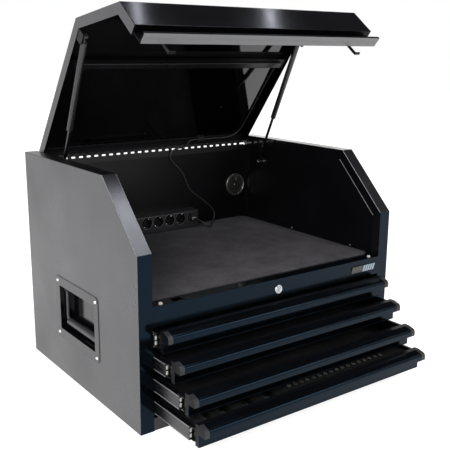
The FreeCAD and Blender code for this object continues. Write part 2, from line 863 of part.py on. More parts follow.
def make_lid_light():
    """Hat section that stiffens the lid and the light bar fixed under it."""
    hat = body("Stiffener")
    front, rear = "stiffener_front", "stiffener_rear"
    under = "lid_inside - sheet_steel"
    outline = [
        (f"{front} - stiffener_flange", "lid_inside"),
        (f"{front} - stiffener_flange", under),
        (front, under),
        (front, "stiffener_bottom"),
        (rear, "stiffener_bottom"),
        (rear, under),
        (f"{rear} + stiffener_flange", under),
        (f"{rear} + stiffener_flange", "lid_inside"),
        (f"{rear} - sheet_steel", "lid_inside"),
        (f"{rear} - sheet_steel", "stiffener_bottom + sheet_steel"),
        (f"{front} + sheet_steel", "stiffener_bottom + sheet_steel"),
        (f"{front} + sheet_steel", "lid_inside"),
    ]
    pad(hat, "HatSection", "x", ("-pull_half", "pull_half"), outline)
    on_lid("lid_stiffener", hat)
    middle = "(stiffener_front + stiffener_rear) / 2"
    bar = box(
        "LightBar",
        ("-led_length / 2", "led_length / 2"),
        (f"{middle} - led_width / 2", f"{middle} + led_width / 2"),
        ("stiffener_bottom - led_depth", "stiffener_bottom"),
    )
    low = number("stiffener_bottom") - number("led_depth")
    soft = rounded(
        "LightBarSoft",
        bar,
        SIZES["led_corner"],
        lambda middle, way: near(middle.z, low) and abs(way.x) > 0.9,
    )
    on_lid("led_strip", soft)


# ---- gas struts ----


def strut_placed(kind, thing):
    """A part of the left strut, drawn upright over its foot ball, tilted to the open lid and mirrored."""
    turn = "rotation(vector(1; 0; 0); strut_tilt)"
    start = "vector(-strut_x; strut_foot_y; strut_foot_z)"
    thing.setExpression("Placement", bound(f"placement({start}; {turn})"))
    finish(f"strut_{kind}_left", thing)
    finish(f"strut_{kind}_right", mirrored(f"Right{kind.capitalize()}", thing))


def make_struts():
    """Gas struts. The rod's socket sits on the ball at the foot, and the tube carries the upper stud."""
    socket = ball("RodSocket", ("0", "0", "0"), "socket_radius")
    rod_start = "socket_radius - 2"
    rod = cylinder("Rod", "z", ("0", "0", rod_start), f"strut_rod_length - ({rod_start})", "strut_rod_radius")
    piston_at = ("0", "0", "strut_rod_length - piston_length")
    piston = cylinder("Piston", "z", piston_at, "piston_length", "strut_bore_radius - strut_rod_clearance")
    seat = ball("RodSeat", ("0", "0", "0"), "ball_radius + ball_clearance")
    across = ("-socket_radius", "socket_radius")
    mouth = box("RodMouth", ("-socket_radius - 1", "-ball_radius / 2"), across, across)
    strut_placed("rod", cut("RodPiece", fuse("RodBlank", [socket, rod, piston]), [seat, mouth]))

    end = "strut_length - socket_radius - strut_neck"
    length = f"{end} - strut_tube_start"
    reach = "bracket_x - bracket_clearance - strut_x"
    neck_length = "strut_neck + strut_rod_radius"
    blank = [
        cylinder("Tube", "z", ("0", "0", "strut_tube_start"), length, "strut_tube_radius"),
        cylinder("TubeNeck", "z", ("0", "0", f"{end} - 1"), neck_length, "strut_rod_radius"),
        ball("TubeHead", ("0", "0", "strut_length"), "socket_radius"),
        cylinder("TubeStud", "x", (f"-({reach})", "0", "strut_length"), reach, "stud_radius"),
        cylinder("TubeCollar", "x", (f"-({reach})", "0", "strut_length"), "stud_collar", "stud_radius + 2"),
    ]
    room = "strut_tube_start + strut_gland"
    gland_radius = "strut_rod_radius + strut_rod_clearance"
    hollow = [
        cylinder("TubeRoom", "z", ("0", "0", room), f"{end} - strut_gland - ({room})", "strut_bore_radius"),
        cylinder("TubeGland", "z", ("0", "0", "strut_tube_start - 1"), "strut_gland + 2", gland_radius),
    ]
    strut_placed("tube", cut("TubePiece", fuse("TubeBlank", blank), hollow))


def make_strut_brackets():
    """Plates on the lid's turned-down sides that carry the upper ball studs."""
    plate = box(
        "LeftBracket",
        ("-lid_half + sheet_steel", "-bracket_x"),
        ("strut_head_y - bracket_half", "strut_head_y + bracket_half"),
        ("strut_head_z - bracket_half", "lid_inside - bracket_drop"),
    )
    soft = rounded("LeftBracketSoft", plate, SIZES["bracket_corner"], lambda middle, way: abs(way.x) > 0.9)
    on_lid("strut_lid_brackets", group("LidBrackets", [soft, mirrored("RightBracket", soft)]))


def strut_wall_stud():
    """Plate, stud and ball on the inner wall that carry the foot of the left strut."""
    centre = ("strut_foot_y", "strut_foot_z")
    wall = "-inner_x - sheet_steel"
    plate = cylinder("StudPlate", "x", (wall, *centre), "stud_plate", "stud_plate_radius")
    shank = cylinder("StudShank", "x", (wall, *centre), "strut_gap + sheet_steel", "stud_radius")
    knob = ball("StudBall", ("-strut_x", *centre), "ball_radius")
    return fuse("WallStud", [plate, shank, knob])


# ---- lock ----


def make_lock():
    """Cylinder lock whose cam pushes the bar that catches the lid hooks."""
    start = ("0", "front - lock_collar", "lock_z")
    collar = cylinder("LockCollar", "y", start, "lock_collar", "lock_collar_radius")
    sleeve_length = "lock_reach + lock_collar - 1"
    sleeve = cylinder("LockSleeve", "y", start, sleeve_length, "lock_sleeve_radius - lock_clearance")
    room_start = ("0", "front - lock_collar - 1", "lock_z")
    room = cylinder("LockRoom", "y", room_start, f"{sleeve_length} + 2", "lock_radius + lock_clearance")
    finish("lock_body", cut("LockBody", fuse("LockShell", [collar, sleeve]), [room]))

    face = "front - lock_collar - 1"
    plug = cylinder("LockPlug", "y", ("0", face, "lock_z"), "lock_reach + lock_collar + 1", "lock_radius")
    key = box(
        "KeyWay",
        ("-key_width / 2", "key_width / 2"),
        (f"{face} - 1", f"{face} + key_depth"),
        ("lock_z - key_height / 2", "lock_z + key_height / 2"),
    )
    disc = cylinder("LockCam", "y", ("0", "lock_end", "lock_z"), "cam_thickness", "cam_radius")
    pin_at = ("cam_throw * sin(45)", "cam_end", "lock_z + cam_throw * cos(45)")
    pin = cylinder("CamPin", "y", pin_at, "cam_pin_length", "cam_pin_radius")
    cam = fuse("CamWithPin", [disc, pin])
    finish("lock_barrel", group("LockBarrel", [cut("PlugWithKeyWay", plug, [key]), cam]))


def make_lock_bar():
    """Flat bar under the rail's ledge, with a catch for each hook and a fork round the cam's pin."""
    reach = "hook_foot + catch_gap"
    across = (f"-hook_left + {reach}", f"hook_right + {reach} + catch_width")
    pieces = [box("BarStrip", across, ("bar_front", "bar_rear"), ("bar_bottom", "bar_top"))]
    catch_y = ("pull_rear - catch_overlap", "bar_front + 1")
    catch_z = ("hook_bottom + hook_thickness + catch_lift", "bar_top")
    for side, hook in (("Left", "-hook_left"), ("Right", "hook_right")):
        start = f"{hook} + {reach}"
        pieces.append(box(f"{side}Catch", (start, f"{start} + catch_width"), catch_y, catch_z))
    middle = "cam_throw * sin(45)"
    fork_front = "cam_end + fork_gap"
    fork_y = (fork_front, f"{fork_front} + fork_thickness")
    fork_x = (f"{middle} - fork_half", f"{middle} + fork_half")
    pieces.append(box("ForkPlate", fork_x, fork_y, ("lock_z + 1", "bar_top")))
    pin_room = "(cam_pin_radius + fork_clearance)"
    slot = box(
        "ForkSlot",
        (f"{middle} - {pin_room}", f"{middle} + {pin_room}"),
        (f"{fork_front} - 1", f"{fork_front} + fork_thickness + 1"),
        ("lock_z", f"lock_z + cam_throw + {pin_room}"),
    )
    finish("lock_bar", cut("LockBar", fuse("LockBarBlank", pieces), [slot]))


def make_name_plate():
    """Blank plate at the right end of the rail."""
    plate = body("NamePlate")
    low, high = "rail_top - plate_drop - plate_height / 2", "rail_top - plate_drop + plate_height / 2"
    left, right = "plate_centre - plate_width / 2", "plate_centre + plate_width / 2"
    outline = [(left, low), (f"{right} - plate_slant", low), (right, high), (left, high)]
    pad(plate, "PlateBlank", "y", ("front - plate_thickness", "front"), outline)
    finish("name_plate", plate)


# ---- side handles ----


def make_handle_cups():
    """Recessed cup with a face plate. The pins that carry the bail are part of its ends."""
    cup = body("LeftCup")
    plate_low = ("handle_y - handle_plate_width / 2", "handle_height - handle_plate_height / 2")
    plate_high = ("handle_y + handle_plate_width / 2", "handle_height + handle_plate_height / 2")
    pad(cup, "CupPlate", "x", ("-half_width - sheet_steel", "-half_width"), rectangle(plate_low, plate_high))
    soften(cup, "CupPlateCorners", "handle_plate_corner", lambda middle, way: abs(way.x) > 0.9)
    outer_low = ("handle_y - cup_half - sheet_steel", "handle_bottom - sheet_steel")
    outer_high = ("handle_y + cup_half + sheet_steel", "handle_top + sheet_steel")
    pad(cup, "CupBox", "x", ("-half_width - sheet_steel", "-cup_x"), rectangle(outer_low, outer_high))
    inner = rectangle(("handle_y - cup_half", "handle_bottom"), ("handle_y + cup_half", "handle_top"))
    pocket(cup, "CupHollow", "x", ("-half_width - 2 * sheet_steel", "-cup_x - sheet_steel"), inner)
    pins = []
    starts = {"Front": "handle_y - cup_half", "Rear": "handle_y + cup_half - bail_pin_length"}
    for end, start in starts.items():
        centre = ("-bail_x", start, "bail_z")
        pins.append(cylinder(f"{end}Pin", "y", centre, "bail_pin_length", "bail_pin_radius"))
    left = fuse("LeftCupWithPins", [cup, *pins])
    finish("handle_cups", group("HandleCups", [left, mirrored("RightCup", left)]))


def rounded_route(points, limit=math.inf):
    """Straight runs joined by tangent arcs, each as large as its two runs and the limit allow."""
    points = [Vector(*point) for point in points]
    edges = []
    radii = []
    last = points[0]
    for before, corner, after in zip(points, points[1:], points[2:]):
        back, ahead = before - corner, after - corner
        half_turn = (math.pi - back.getAngle(ahead)) / 2
        radius = min(limit, 0.45 * min(back.Length, ahead.Length) / math.tan(half_turn))
        reach = radius * math.tan(half_turn)
        radii.append(radius)
        back.normalize()
        ahead.normalize()
        start, end = corner + back * reach, corner + ahead * reach
        middle = corner + (back + ahead).normalize() * (radius / math.cos(half_turn) - radius)
        edges.append(Part.LineSegment(last, start).toShape())
        edges.append(Part.Arc(start, middle, end).toShape())
        last = end
    edges.append(Part.LineSegment(last, points[-1]).toShape())
    return Part.Wire(edges), radii


def swept(path, radius):
    """A round bar along a route."""
    first = path.Edges[0]
    start, way = first.valueAt(first.FirstParameter), first.tangentAt(first.FirstParameter)
    return path.makePipeShell([Part.Wire([Part.makeCircle(radius, start, way)])], True, False)


def make_bails():
    """Swinging handle: a bent wire with an eye at each end and a grip between its arms."""
    x, y, z = -number("bail_x"), number("handle_y"), number("bail_z")
    half, bottom = number("bail_half"), number("bail_z") - number("bail_arm")
    wire = number("bail_wire_radius")
    corners = [(x, y - half, z), (x, y - half, bottom), (x, y + half, bottom), (x, y + half, z)]
    path, _ = rounded_route(corners, number("bail_bend"))
    along = Vector(0, 1, 0)
    margin = number("bail_grip_margin")
    grip_length = 2 * (half - margin)
    grip_start = Vector(x, y - half + margin, bottom)
    grip = Part.makeCylinder(number("bail_grip_radius"), grip_length, grip_start, along)
    eyes = [
        Part.makeCylinder(number("bail_eye_radius"), 2 * wire, Vector(x, y + side * half - wire, z), along)
        for side in (-1, 1)
    ]
    hole_radius = number("bail_pin_radius") + number("bail_pin_clearance")
    hole = Part.makeCylinder(hole_radius, 4 * half, Vector(x, y - 2 * half, z), along)
    left = doc.addObject("Part::Feature", "LeftBail")
    left.Shape = swept(path, wire).multiFuse([grip, *eyes]).cut(hole)
    finish("left_bail", left)
    finish("right_bail", mirrored("RightBail", left))


def make_case_fasteners():
    """Screws of the handle plates and of the deck, and the struts' lower studs."""
    pieces = [strut_wall_stud()]
    radii = ("screw_crown_radius", "screw_radius")
    plate = "-half_width - sheet_steel - screw_height"
    for name, y_way in (("Front", "-"), ("Rear", "+")):
        for level, z_way in (("Low", "-"), ("High", "+")):
            y = f"handle_y {y_way} screw_spacing_width / 2"
            start = (plate, y, f"handle_height {z_way} screw_spacing_height / 2")
            pieces.append(cone(f"{name}{level}Screw", "x", start, "screw_height", *radii))
    wall = "-inner_x + sheet_steel"
    for index in range(2):
        y = f"front + deck_screw_front + {index} * deck_screw_spacing"
        start = (wall, y, "rail_top + deck_screw_height")
        pieces.append(cone(f"DeckScrew{index}", "x", start, "screw_height", *reversed(radii)))
    left = group("LeftFasteners", pieces)
    finish("case_fasteners", group("CaseFasteners", [left, mirrored("RightFasteners", left)]))


# ---- power strip and cable grommet ----


def outlet_rooms(index):
    """Well of one outlet with its two contact holes, which are turned like the real ones."""
    x = f"strip_left + outlet_first + {index} * outlet_spacing"
    well = (x, "strip_front - 1", "outlet_z")
    rooms = [cylinder(f"Outlet{index}", "y", well, "outlet_depth + 1", "outlet_radius")]
    across = "outlet_pin_spacing / 2 * cos(outlet_turn)"
    rise = "outlet_pin_spacing / 2 * sin(outlet_turn)"
    for level, way in (("Low", "-"), ("High", "+")):
        start = (f"{x} {way} {across}", "strip_front", f"outlet_z {way} {rise}")
        depth = "outlet_depth + outlet_pin_depth"
        rooms.append(cylinder(f"Pin{index}{level}", "y", start, depth, "outlet_pin_radius"))
    return rooms


def make_power_strip():
    """Outlet strip on the deck against the back panel."""
    right = "strip_left + strip_length"
    depth = ("strip_front", "panel_front")
    block = box("StripBlock", ("strip_left", right), depth, ("mat_top", "strip_top"))
    face = number("strip_front")
    soft = rounded("StripSoft", block, SIZES["strip_edge"], lambda middle, way: near(middle.y, face))
    rooms = []
    for index in range(4):
        rooms += outlet_rooms(index)
    side = "switch_width / 2 + switch_clearance"
    level = "switch_height / 2 + switch_travel_room"
    rooms.append(
        box(
            "SwitchRoom",
            (f"switch_x - ({side})", f"switch_x + {side}"),
            ("strip_front - 1", "strip_front + switch_depth + 4"),
            (f"outlet_z - ({level})", f"outlet_z + {level}"),
        )
    )
    reach = "switch_width / 2 + switch_pin_reach + switch_clearance"
    pin_start = (f"switch_x - ({reach})", "switch_pivot_y", "outlet_z")
    pin_room = "switch_pin_radius + switch_pin_clearance"
    rooms.append(cylinder("SwitchPinRoom", "x", pin_start, f"2 * ({reach})", pin_room))
    housing = cut("StripHousing", soft, rooms)
    gland_y = "panel_front - strip_depth / 2"
    gland_start = ("strip_left - gland_length", gland_y, "mat_top + strip_height / 2")
    gland = cylinder("StripGland", "x", gland_start, "gland_length", "gland_radius")
    finish("power_strip", fuse("PowerStrip", [housing, gland]))


def make_power_switch():
    """Rocker of the outlet strip on its pivot pin."""
    rocker = box(
        "SwitchBlock",
        ("switch_x - switch_width / 2", "switch_x + switch_width / 2"),
        ("strip_front - switch_proud", "strip_front + switch_depth"),
        ("outlet_z - switch_height / 2", "outlet_z + switch_height / 2"),
    )
    rear_edge = number("strip_front") + number("switch_depth")
    soft = rounded(
        "SwitchSoft",
        rocker,
        SIZES["switch_rear_radius"],
        lambda middle, way: near(middle.y, rear_edge) and abs(way.x) > 0.9,
    )
    reach = "switch_width / 2 + switch_pin_reach"
    pin_start = (f"switch_x - ({reach})", "switch_pivot_y", "outlet_z")
    pin = cylinder("SwitchPin", "x", pin_start, f"2 * ({reach})", "switch_pin_radius")
    finish("power_switch", fuse("PowerSwitch", [soft, pin]))


def make_usb_plug():
    shell = box(
        "UsbShell",
        ("usb_x - usb_width / 2", "usb_x + usb_width / 2"),
        ("strip_front - usb_length", "strip_front"),
        ("usb_z - usb_height / 2", "usb_z + usb_height / 2"),
    )
    start = ("usb_x", "strip_front - usb_length - usb_relief", "usb_z")
    relief = cone("UsbRelief", "y", start, "usb_relief", "lead_radius + relief_wall", "usb_height / 2")
    finish("usb_plug", fuse("UsbPlug", [shell, relief]))


def make_grommet():
    """Round cable outlet. A web behind its cap closes the cap's notch until the cap is turned."""

    def disc(name, level, length, radius):
        return cylinder(name, "y", ("grommet_x", level, "grommet_height"), length, radius)

    flange = disc("GrommetFlange", "grommet_front", "grommet_flange", "grommet_radius")
    sleeve_length = "grommet_flange + grommet_sleeve"
    sleeve = disc("GrommetSleeve", "grommet_front", sleeve_length, "grommet_sleeve_radius - grommet_fit")
    blank = fuse("GrommetBlank", [flange, sleeve])
    hollow = disc("GrommetBore", "grommet_front - 1", f"{sleeve_length} + 2", "grommet_bore")
    shell = cut("GrommetShell", blank, [hollow])

    stop = disc("GrommetStop", "web_front", "grommet_web", "grommet_bore")
    hole = disc("GrommetHoleBlank", "web_front - 1", "grommet_web + 2", "grommet_bore - grommet_lip")
    upper_half = box(
        "GrommetUpperHalf",
        ("grommet_x - grommet_radius", "grommet_x + grommet_radius"),
        ("web_front - 2", "web_front + grommet_web + 2"),
        ("grommet_height", "grommet_height + grommet_radius"),
    )
    port = cut("GrommetPort", hole, [upper_half])
    finish("grommet_ring", fuse("GrommetRing", [shell, cut("GrommetWeb", stop, [port])]))

    plate = disc("CapDisc", "cap_front", "grommet_cap_thickness", "cap_radius")
    notch = box(
        "CapNotch",
        ("grommet_x - grommet_notch / 2", "grommet_x + grommet_notch / 2"),
        ("cap_front - 1", "cap_front + grommet_cap_thickness + 1"),
        ("grommet_height + cap_radius / 2", "grommet_height + cap_radius + 2"),
    )
    knob_at = ("grommet_x", "cap_front - grommet_knob_height", "grommet_height")
    radii = ("grommet_crown_radius", "grommet_knob_radius")
    knob = cone("CapKnob", "y", knob_at, "grommet_knob_height", *radii)
    finish("grommet_cap", fuse("GrommetCap", [cut("CapWithNotch", plate, [notch]), knob]))


# ---- drawers and slides ----


def slide_outline(web, inward, lip_end, height, middle):
    """C section of a slide member: its web, and two lips that run inward to lip_end."""
    low, high = f"{middle} - {height} / 2", f"{middle} + {height} / 2"
    inner = f"{web} {inward} slide_steel"
    return [
        (web, low),
        (lip_end, low),
        (lip_end, f"{low} + slide_steel"),
        (inner, f"{low} + slide_steel"),
        (inner, f"{high} - slide_steel"),
        (lip_end, f"{high} - slide_steel"),
        (lip_end, high),
        (web, high),
    ]


def slide_pair(name, span, outline):
    """The same slide member on both sides of a drawer."""
    member = body(name)
    pad(member, f"{name}Section", "y", span, outline)
    return [member, mirrored(f"{name}Right", member)]


def drawer_bottom(index):
    """Height of the lower edge of a drawer front. Drawer 1 is the top one."""
    return f"base_rail_height + drawer_gap + {4 - index} * drawer_pitch"


def pull_outline(face, bottom):
    """Outer outline of a drawer pull: a top that slopes down to the nose, and the nose."""
    nose = f"{face} - grip_depth"
    return [
        (face, f"{bottom} + grip_bottom"),
        (face, f"{bottom} + front_height"),
        (nose, f"{bottom} + front_height - grip_slope"),
        (nose, f"{bottom} + grip_bottom"),
    ]


def pull_section(face, bottom):
    """Outline of the folded pull between its end caps."""
    nose = f"{face} - grip_depth"
    under = f"{bottom} + front_height - grip_wall"
    fall = "grip_slope * grip_wall / grip_depth"
    return [
        *pull_outline(face, bottom),
        (f"{nose} + grip_wall", f"{bottom} + grip_bottom"),
        (f"{nose} + grip_wall", f"{under} - grip_slope + {fall}"),
        (f"{face} - grip_wall", f"{under} - {fall}"),
        (f"{face} - grip_wall", f"{bottom} + grip_bottom"),
    ]


def make_tray(index, face, bottom):
    """Drawer front folded from sheet, with the tray behind it."""
    name = f"Drawer{index}"
    top = f"{bottom} + front_height"
    wide = ("-front_half", "front_half")
    inside = ("-front_half + sheet_steel", "front_half - sheet_steel")
    shell = box(f"{name}Front", wide, (face, f"{face} + drawer_front_depth"), (bottom, top))
    room_y = (f"{face} + sheet_steel", f"{face} + drawer_front_depth - sheet_steel")
    room = box(f"{name}FrontRoom", inside, room_y, (f"{bottom} - 1", f"{top} - sheet_steel"))
    hem_y = (f"{face} - drawer_hem_proud", f"{face} + sheet_steel")
    floor_z = f"{bottom} + tray_lift"
    side_z = (floor_z, f"{top} - tray_rim")
    rear = f"{face} + tray_depth"
    along = (f"{face} + drawer_front_depth - sheet_steel", rear)
    across = ("-tray_half", "tray_half")
    pieces = [
        cut(f"{name}HollowFront", shell, [room]),
        box(f"{name}Hem", wide, hem_y, (bottom, f"{bottom} + drawer_hem")),
        box(f"{name}Floor", across, along, (floor_z, f"{floor_z} + sheet_steel")),
        box(f"{name}Left", ("-tray_half", "-tray_half + sheet_steel"), along, side_z),
        box(f"{name}Right", ("tray_half - sheet_steel", "tray_half"), along, side_z),
        box(f"{name}Rear", across, (f"{rear} - sheet_steel", rear), side_z),
    ]
    finish(f"drawer_{index}_tray", fuse(f"{name}Tray", pieces))


def make_pull(index, face, bottom):
    """Folded pull along the top of a drawer front and the moulded caps at its ends."""
    name = f"Drawer{index}"
    cap_start = "front_half - grip_cap_width"
    doc.recompute()
    nose_y = number("front") - number(f"drawer_{index}_open") - number("grip_depth")
    wall = number("grip_wall")

    def nose_edge(middle, way):
        return near(middle.y, nose_y) and way.x ** 2 > 0.9 and middle.z > lip_z

    def nose_inside(middle, way):
        return near(middle.y, nose_y + wall) and way.x ** 2 > 0.9 and middle.z > lip_z

    pull = body(f"{name}Pull")
    pad(pull, f"{name}PullSection", "x", (f"-({cap_start})", cap_start), pull_section(face, bottom))
    doc.recompute()
    lip_z = pull.Tip.Shape.BoundBox.ZMin + wall
    soften(pull, f"{name}PullNose", "grip_radius", nose_edge)
    soften(pull, f"{name}PullInside", "grip_radius - grip_wall", nose_inside)
    finish(f"drawer_{index}_pull", pull)

    cap = body(f"{name}Cap")
    pad(cap, f"{name}CapBlock", "x", ("-front_half", f"-({cap_start})"), pull_outline(face, bottom))
    soften(cap, f"{name}CapNose", "grip_radius", nose_edge)
    finish(f"drawer_{index}_pull_caps", group(f"{name}Caps", [cap, mirrored(f"{name}CapRight", cap)]))


def make_slides(index, face, bottom):
    """Moving members of a drawer's two slides. Returns the members fixed to the case."""
    name = f"Drawer{index}"
    level = f"{bottom} + slide_lift + slide_height / 2"
    inner = slide_outline("-tray_half", "-", "-tray_half - slide_inner_lip", "inner_height", level)
    span = (f"{face} + slide_inner_inset", f"{face} + slide_length")
    pair = slide_pair(f"{name}InnerSlide", span, inner)
    finish(f"drawer_{index}_slides", group(f"{name}InnerSlides", pair))

    web = "-inner_x + slide_steel + slide_web_gap"
    middle = slide_outline(web, "+", f"{web} + slide_middle_lip", "middle_height", level)
    span = (f"{face} + slide_middle_inset", f"{face} + slide_length")
    pair = slide_pair(f"{name}MiddleSlide", span, middle)
    finish(f"slide_{index}_middle", group(f"{name}MiddleSlides", pair))

    outer = slide_outline("-inner_x", "+", "-inner_x + slide_outer_lip", "slide_height", level)
    span = ("front + slide_outer_inset", "front + slide_length")
    return slide_pair(f"{name}OuterSlide", span, outer)


def make_drawers():
    fixed = []
    for index in range(1, 5):
        face = f"front - drawer_{index}_open"
        bottom = drawer_bottom(index)
        make_tray(index, face, bottom)
        make_pull(index, face, bottom)
        fixed += make_slides(index, face, bottom)
    finish("slide_outer_members", group("OuterSlides", fixed))


# Pockets of the foam tray: left and right edge, and front and rear edge behind the foam's front.
FOAM_BITS = 17
FOAM_POCKETS = [
    (-307, -275, 8, 185),
    (-256, -224, 8, 185),
    (-193, -161, 8, 185),
    (-134, -102, 8, 185),
    (-62, 50, 7, 26),
    (66, 176, 7, 26),
    (192, 300, 7, 26),
    (-70, 105, 50, 185),
    (120, 305, 50, 185),
    (-310, -110, 210, 475),
    (-95, 95, 210, 475),
    (110, 310, 210, 475),
]


def make_foam_tray():
    """Foam tray of the lowest drawer with pockets for tools and a row of bit holes."""
    face = "front - drawer_4_open"
    floor_z = f"{drawer_bottom(4)} + tray_lift + sheet_steel"
    half = "tray_half - foam_margin"
    start = f"{face} + drawer_front_depth + foam_margin"
    top = f"{floor_z} + foam_height"
    along = (start, f"{face} + tray_depth - foam_margin")
    block = box("FoamBlock", (f"-({half})", half), along, (floor_z, top))
    rooms = []
    for index, (left, right, near_edge, far_edge) in enumerate(FOAM_POCKETS):
        y = (f"{start} + {near_edge}", f"{start} + {far_edge}")
        depth = (f"{top} - foam_pocket_depth", f"{top} + 1")
        rooms.append(box(f"FoamPocket{index}", (left, right), y, depth))
    for index in range(FOAM_BITS):
        x = f"{index} * foam_bit_spacing - foam_bit_left"
        at = (x, f"{start} + foam_bit_setback", f"{top} - foam_bit_depth")
        rooms.append(cylinder(f"FoamBit{index}", "z", at, "foam_bit_depth + 1", "foam_bit_radius"))
    finish("drawer_4_foam", cut("FoamTray", block, rooms))


# ---- lead of the lid light ----

# Routes of the light's lead: from the plug up the back panel to the hinge, and on the closed lid.
# The two lengths meet face to face on a plane across the hinge, so that the lid can turn.
LOWER_ROUTE = [
    (118, 220.8, 318),
    (118, 205, 318),
    (124, 191, 309),
    (138, 191, 299),
    (156, 207, 295),
    (178, 238, 292.6),
    (200, 263, 292.8),
    (216, 277, 296),
    (225, 284.5, 309),
    (219, 285, 326),
    (206, 285, 340),
    (188, 285, 353),
    (168, 285, 370),
    (147, 285, 384),
    (131, 285, 398),
    (121, 285, 416),
    (114, 285, 436),
    (103, 285, 455),
    (88, 285, 471),
    (72, 285, 485),
    (60, 284.4, 501),
    (62, 282, 518),
    (76, 278.4, 528.6),
    (92, 277.8, 529.1),
]
CROSSING_ROUTE = [
    (92.3, 282.8, 524.7),
    (107, 282.6, 525),
    (120, 278.6, 531),
    (129, 275.4, 543),
    (146, 276, 548.6),
    (166, 276, 548.6),
]
EDGE_ROUTE = [
    (190, 276, 548.6),
    (228, 276, 548.6),
    (270, 277.5, 548.6),
    (300, 270, 548.7),
    (316, 246, 549),
    (319, 200, 549.3),
    (320, 140, 549.3),
    (320, 84, 549.3),
    (320, 32, 548),
    (320, -7.8, 545),
]


def lead(name, points):
    path, radii = rounded_route(points)
    radius = number("lead_radius")
    thing = doc.addObject("Part::Feature", name)
    thing.Shape = swept(path, radius)
    share = thing.Shape.Volume / (math.pi * radius ** 2 * path.Length)
    print(f"{name}: length {path.Length:.0f}, least radius {min(radii):.1f}, volume share {share:.4f}")
    return thing


def make_leads():
    """Lead of the lid light, in two lengths that meet at the hinge, and its connector."""
    finish("lead_lower", lead("LowerLead", LOWER_ROUTE))
    lengths = [lead("CrossingLead", CROSSING_ROUTE), lead("EdgeLead", EDGE_ROUTE)]
    on_lid("lead_upper", group("UpperLead", lengths))
    y = EDGE_ROUTE[0][1]
    top = "lid_inside - leaf_thickness"
    connector = box(
        "LeadConnector",
        (CROSSING_ROUTE[-1][0], EDGE_ROUTE[0][0]),
        (f"{y} - connector_width / 2", f"{y} + connector_width / 2"),
        (f"{top} - connector_height", top),
    )
    on_lid("lead_connector", group("Connector", [connector]))


def check_and_write():
    """Refuses failed or empty shapes, then writes one file for each sub-part."""
    doc.recompute()
    failed = [thing.Name for thing in doc.Objects if {"Invalid", "Error"} & set(thing.State)]
    if failed:
        raise RuntimeError(f"failed objects: {failed}")
    idle = [p.Name for p in pockets if p.BaseFeature.Shape.Volume - p.Shape.Volume < 1]
    if idle:
        raise RuntimeError(f"pockets that cut nothing: {idle}")
    for node, thing in finished.items():
        if thing.Shape.isNull() or not thing.Shape.isValid() or not thing.Shape.Solids:
            raise RuntimeError(f"bad shape: {node}")
    os.makedirs("parts", exist_ok=True)
    for node, thing in finished.items():
        thing.Shape.exportStep(os.path.join("parts", f"{node}.step"))
    print(f"{len(finished)} sub-parts written")


fill_sheet()
make_side_panels()
make_inner_walls()
make_back_panel()
make_base_pan()
make_front_rail()
make_deck()
make_bumpers()
make_hinge()
make_lid_shell()
make_lid_pull()
make_hooks()
make_lid_light()
make_struts()
make_strut_brackets()
make_lock()
make_lock_bar()
make_name_plate()
make_handle_cups()
make_bails()
make_case_fasteners()
make_power_strip()
make_power_switch()
make_usb_plug()
make_grommet()
make_drawers()
make_foam_tray()
make_leads()
check_and_write()
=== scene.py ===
import math

import bmesh
import bpy
from mathutils import Matrix, Vector


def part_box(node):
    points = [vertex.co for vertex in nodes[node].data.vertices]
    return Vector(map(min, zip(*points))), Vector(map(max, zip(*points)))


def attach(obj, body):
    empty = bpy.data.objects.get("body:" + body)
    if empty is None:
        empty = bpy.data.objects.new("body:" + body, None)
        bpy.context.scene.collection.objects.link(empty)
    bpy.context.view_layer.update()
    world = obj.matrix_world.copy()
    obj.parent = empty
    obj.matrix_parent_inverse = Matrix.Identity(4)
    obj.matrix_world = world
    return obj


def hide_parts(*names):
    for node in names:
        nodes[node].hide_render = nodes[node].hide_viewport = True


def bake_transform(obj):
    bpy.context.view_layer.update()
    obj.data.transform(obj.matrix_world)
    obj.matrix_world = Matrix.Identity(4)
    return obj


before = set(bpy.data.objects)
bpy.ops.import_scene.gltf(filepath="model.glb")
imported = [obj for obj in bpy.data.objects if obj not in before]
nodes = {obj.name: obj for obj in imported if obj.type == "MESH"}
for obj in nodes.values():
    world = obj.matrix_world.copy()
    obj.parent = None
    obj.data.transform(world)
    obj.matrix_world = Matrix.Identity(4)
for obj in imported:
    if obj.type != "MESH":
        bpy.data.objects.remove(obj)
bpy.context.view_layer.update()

# A plain length is in millimetres, and times MM it is in metres, as Blender has it.
MM = 0.001
WHITE = (1, 1, 1)
LEFT_AND_RIGHT = (-1, 1)
DRAWERS = (1, 2, 3, 4)
FOAM_DRAWER = 4
OPENED = {1: 26, 2: 70, 3: 122, 4: 159}

# The case: its front, where the slope starts and ends, its top, and the depth of the lips that
# its side panels turn inwards.
CASE_FRONT = -292
COLUMN_TOP = 404
SLOPE_BACK = -145
CASE_TOP = 552
RETURN = 26
SIDE_FACE = 380

HINGE = Vector((0, 284.8, 532)) * MM
LID_TURN = Matrix.Rotation(math.radians(-52.3), 3, "X")
LID_OPEN = Matrix.Translation(HINGE) @ LID_TURN.to_4x4() @ Matrix.Translation(-HINGE)
LEDGE_UNDERSIDE = 310

# The outlet strip: its front face, and the places and size of its four outlets and its switch.
STRIP_FACE = 242.8
OUTLET_X = [-46 + 38.4 * index for index in range(4)]
OUTLET_Z = 323
WELL_RADIUS = 18
WELL_FRONT, WELL_BACK = 243.5, 256
LAST_WELL_END = 90

FOAM_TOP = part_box("drawer_4_foam")[1][2] / MM
UPRIGHT = Matrix.Rotation(math.pi / 2, 3, "X")


# ---- finishes ----

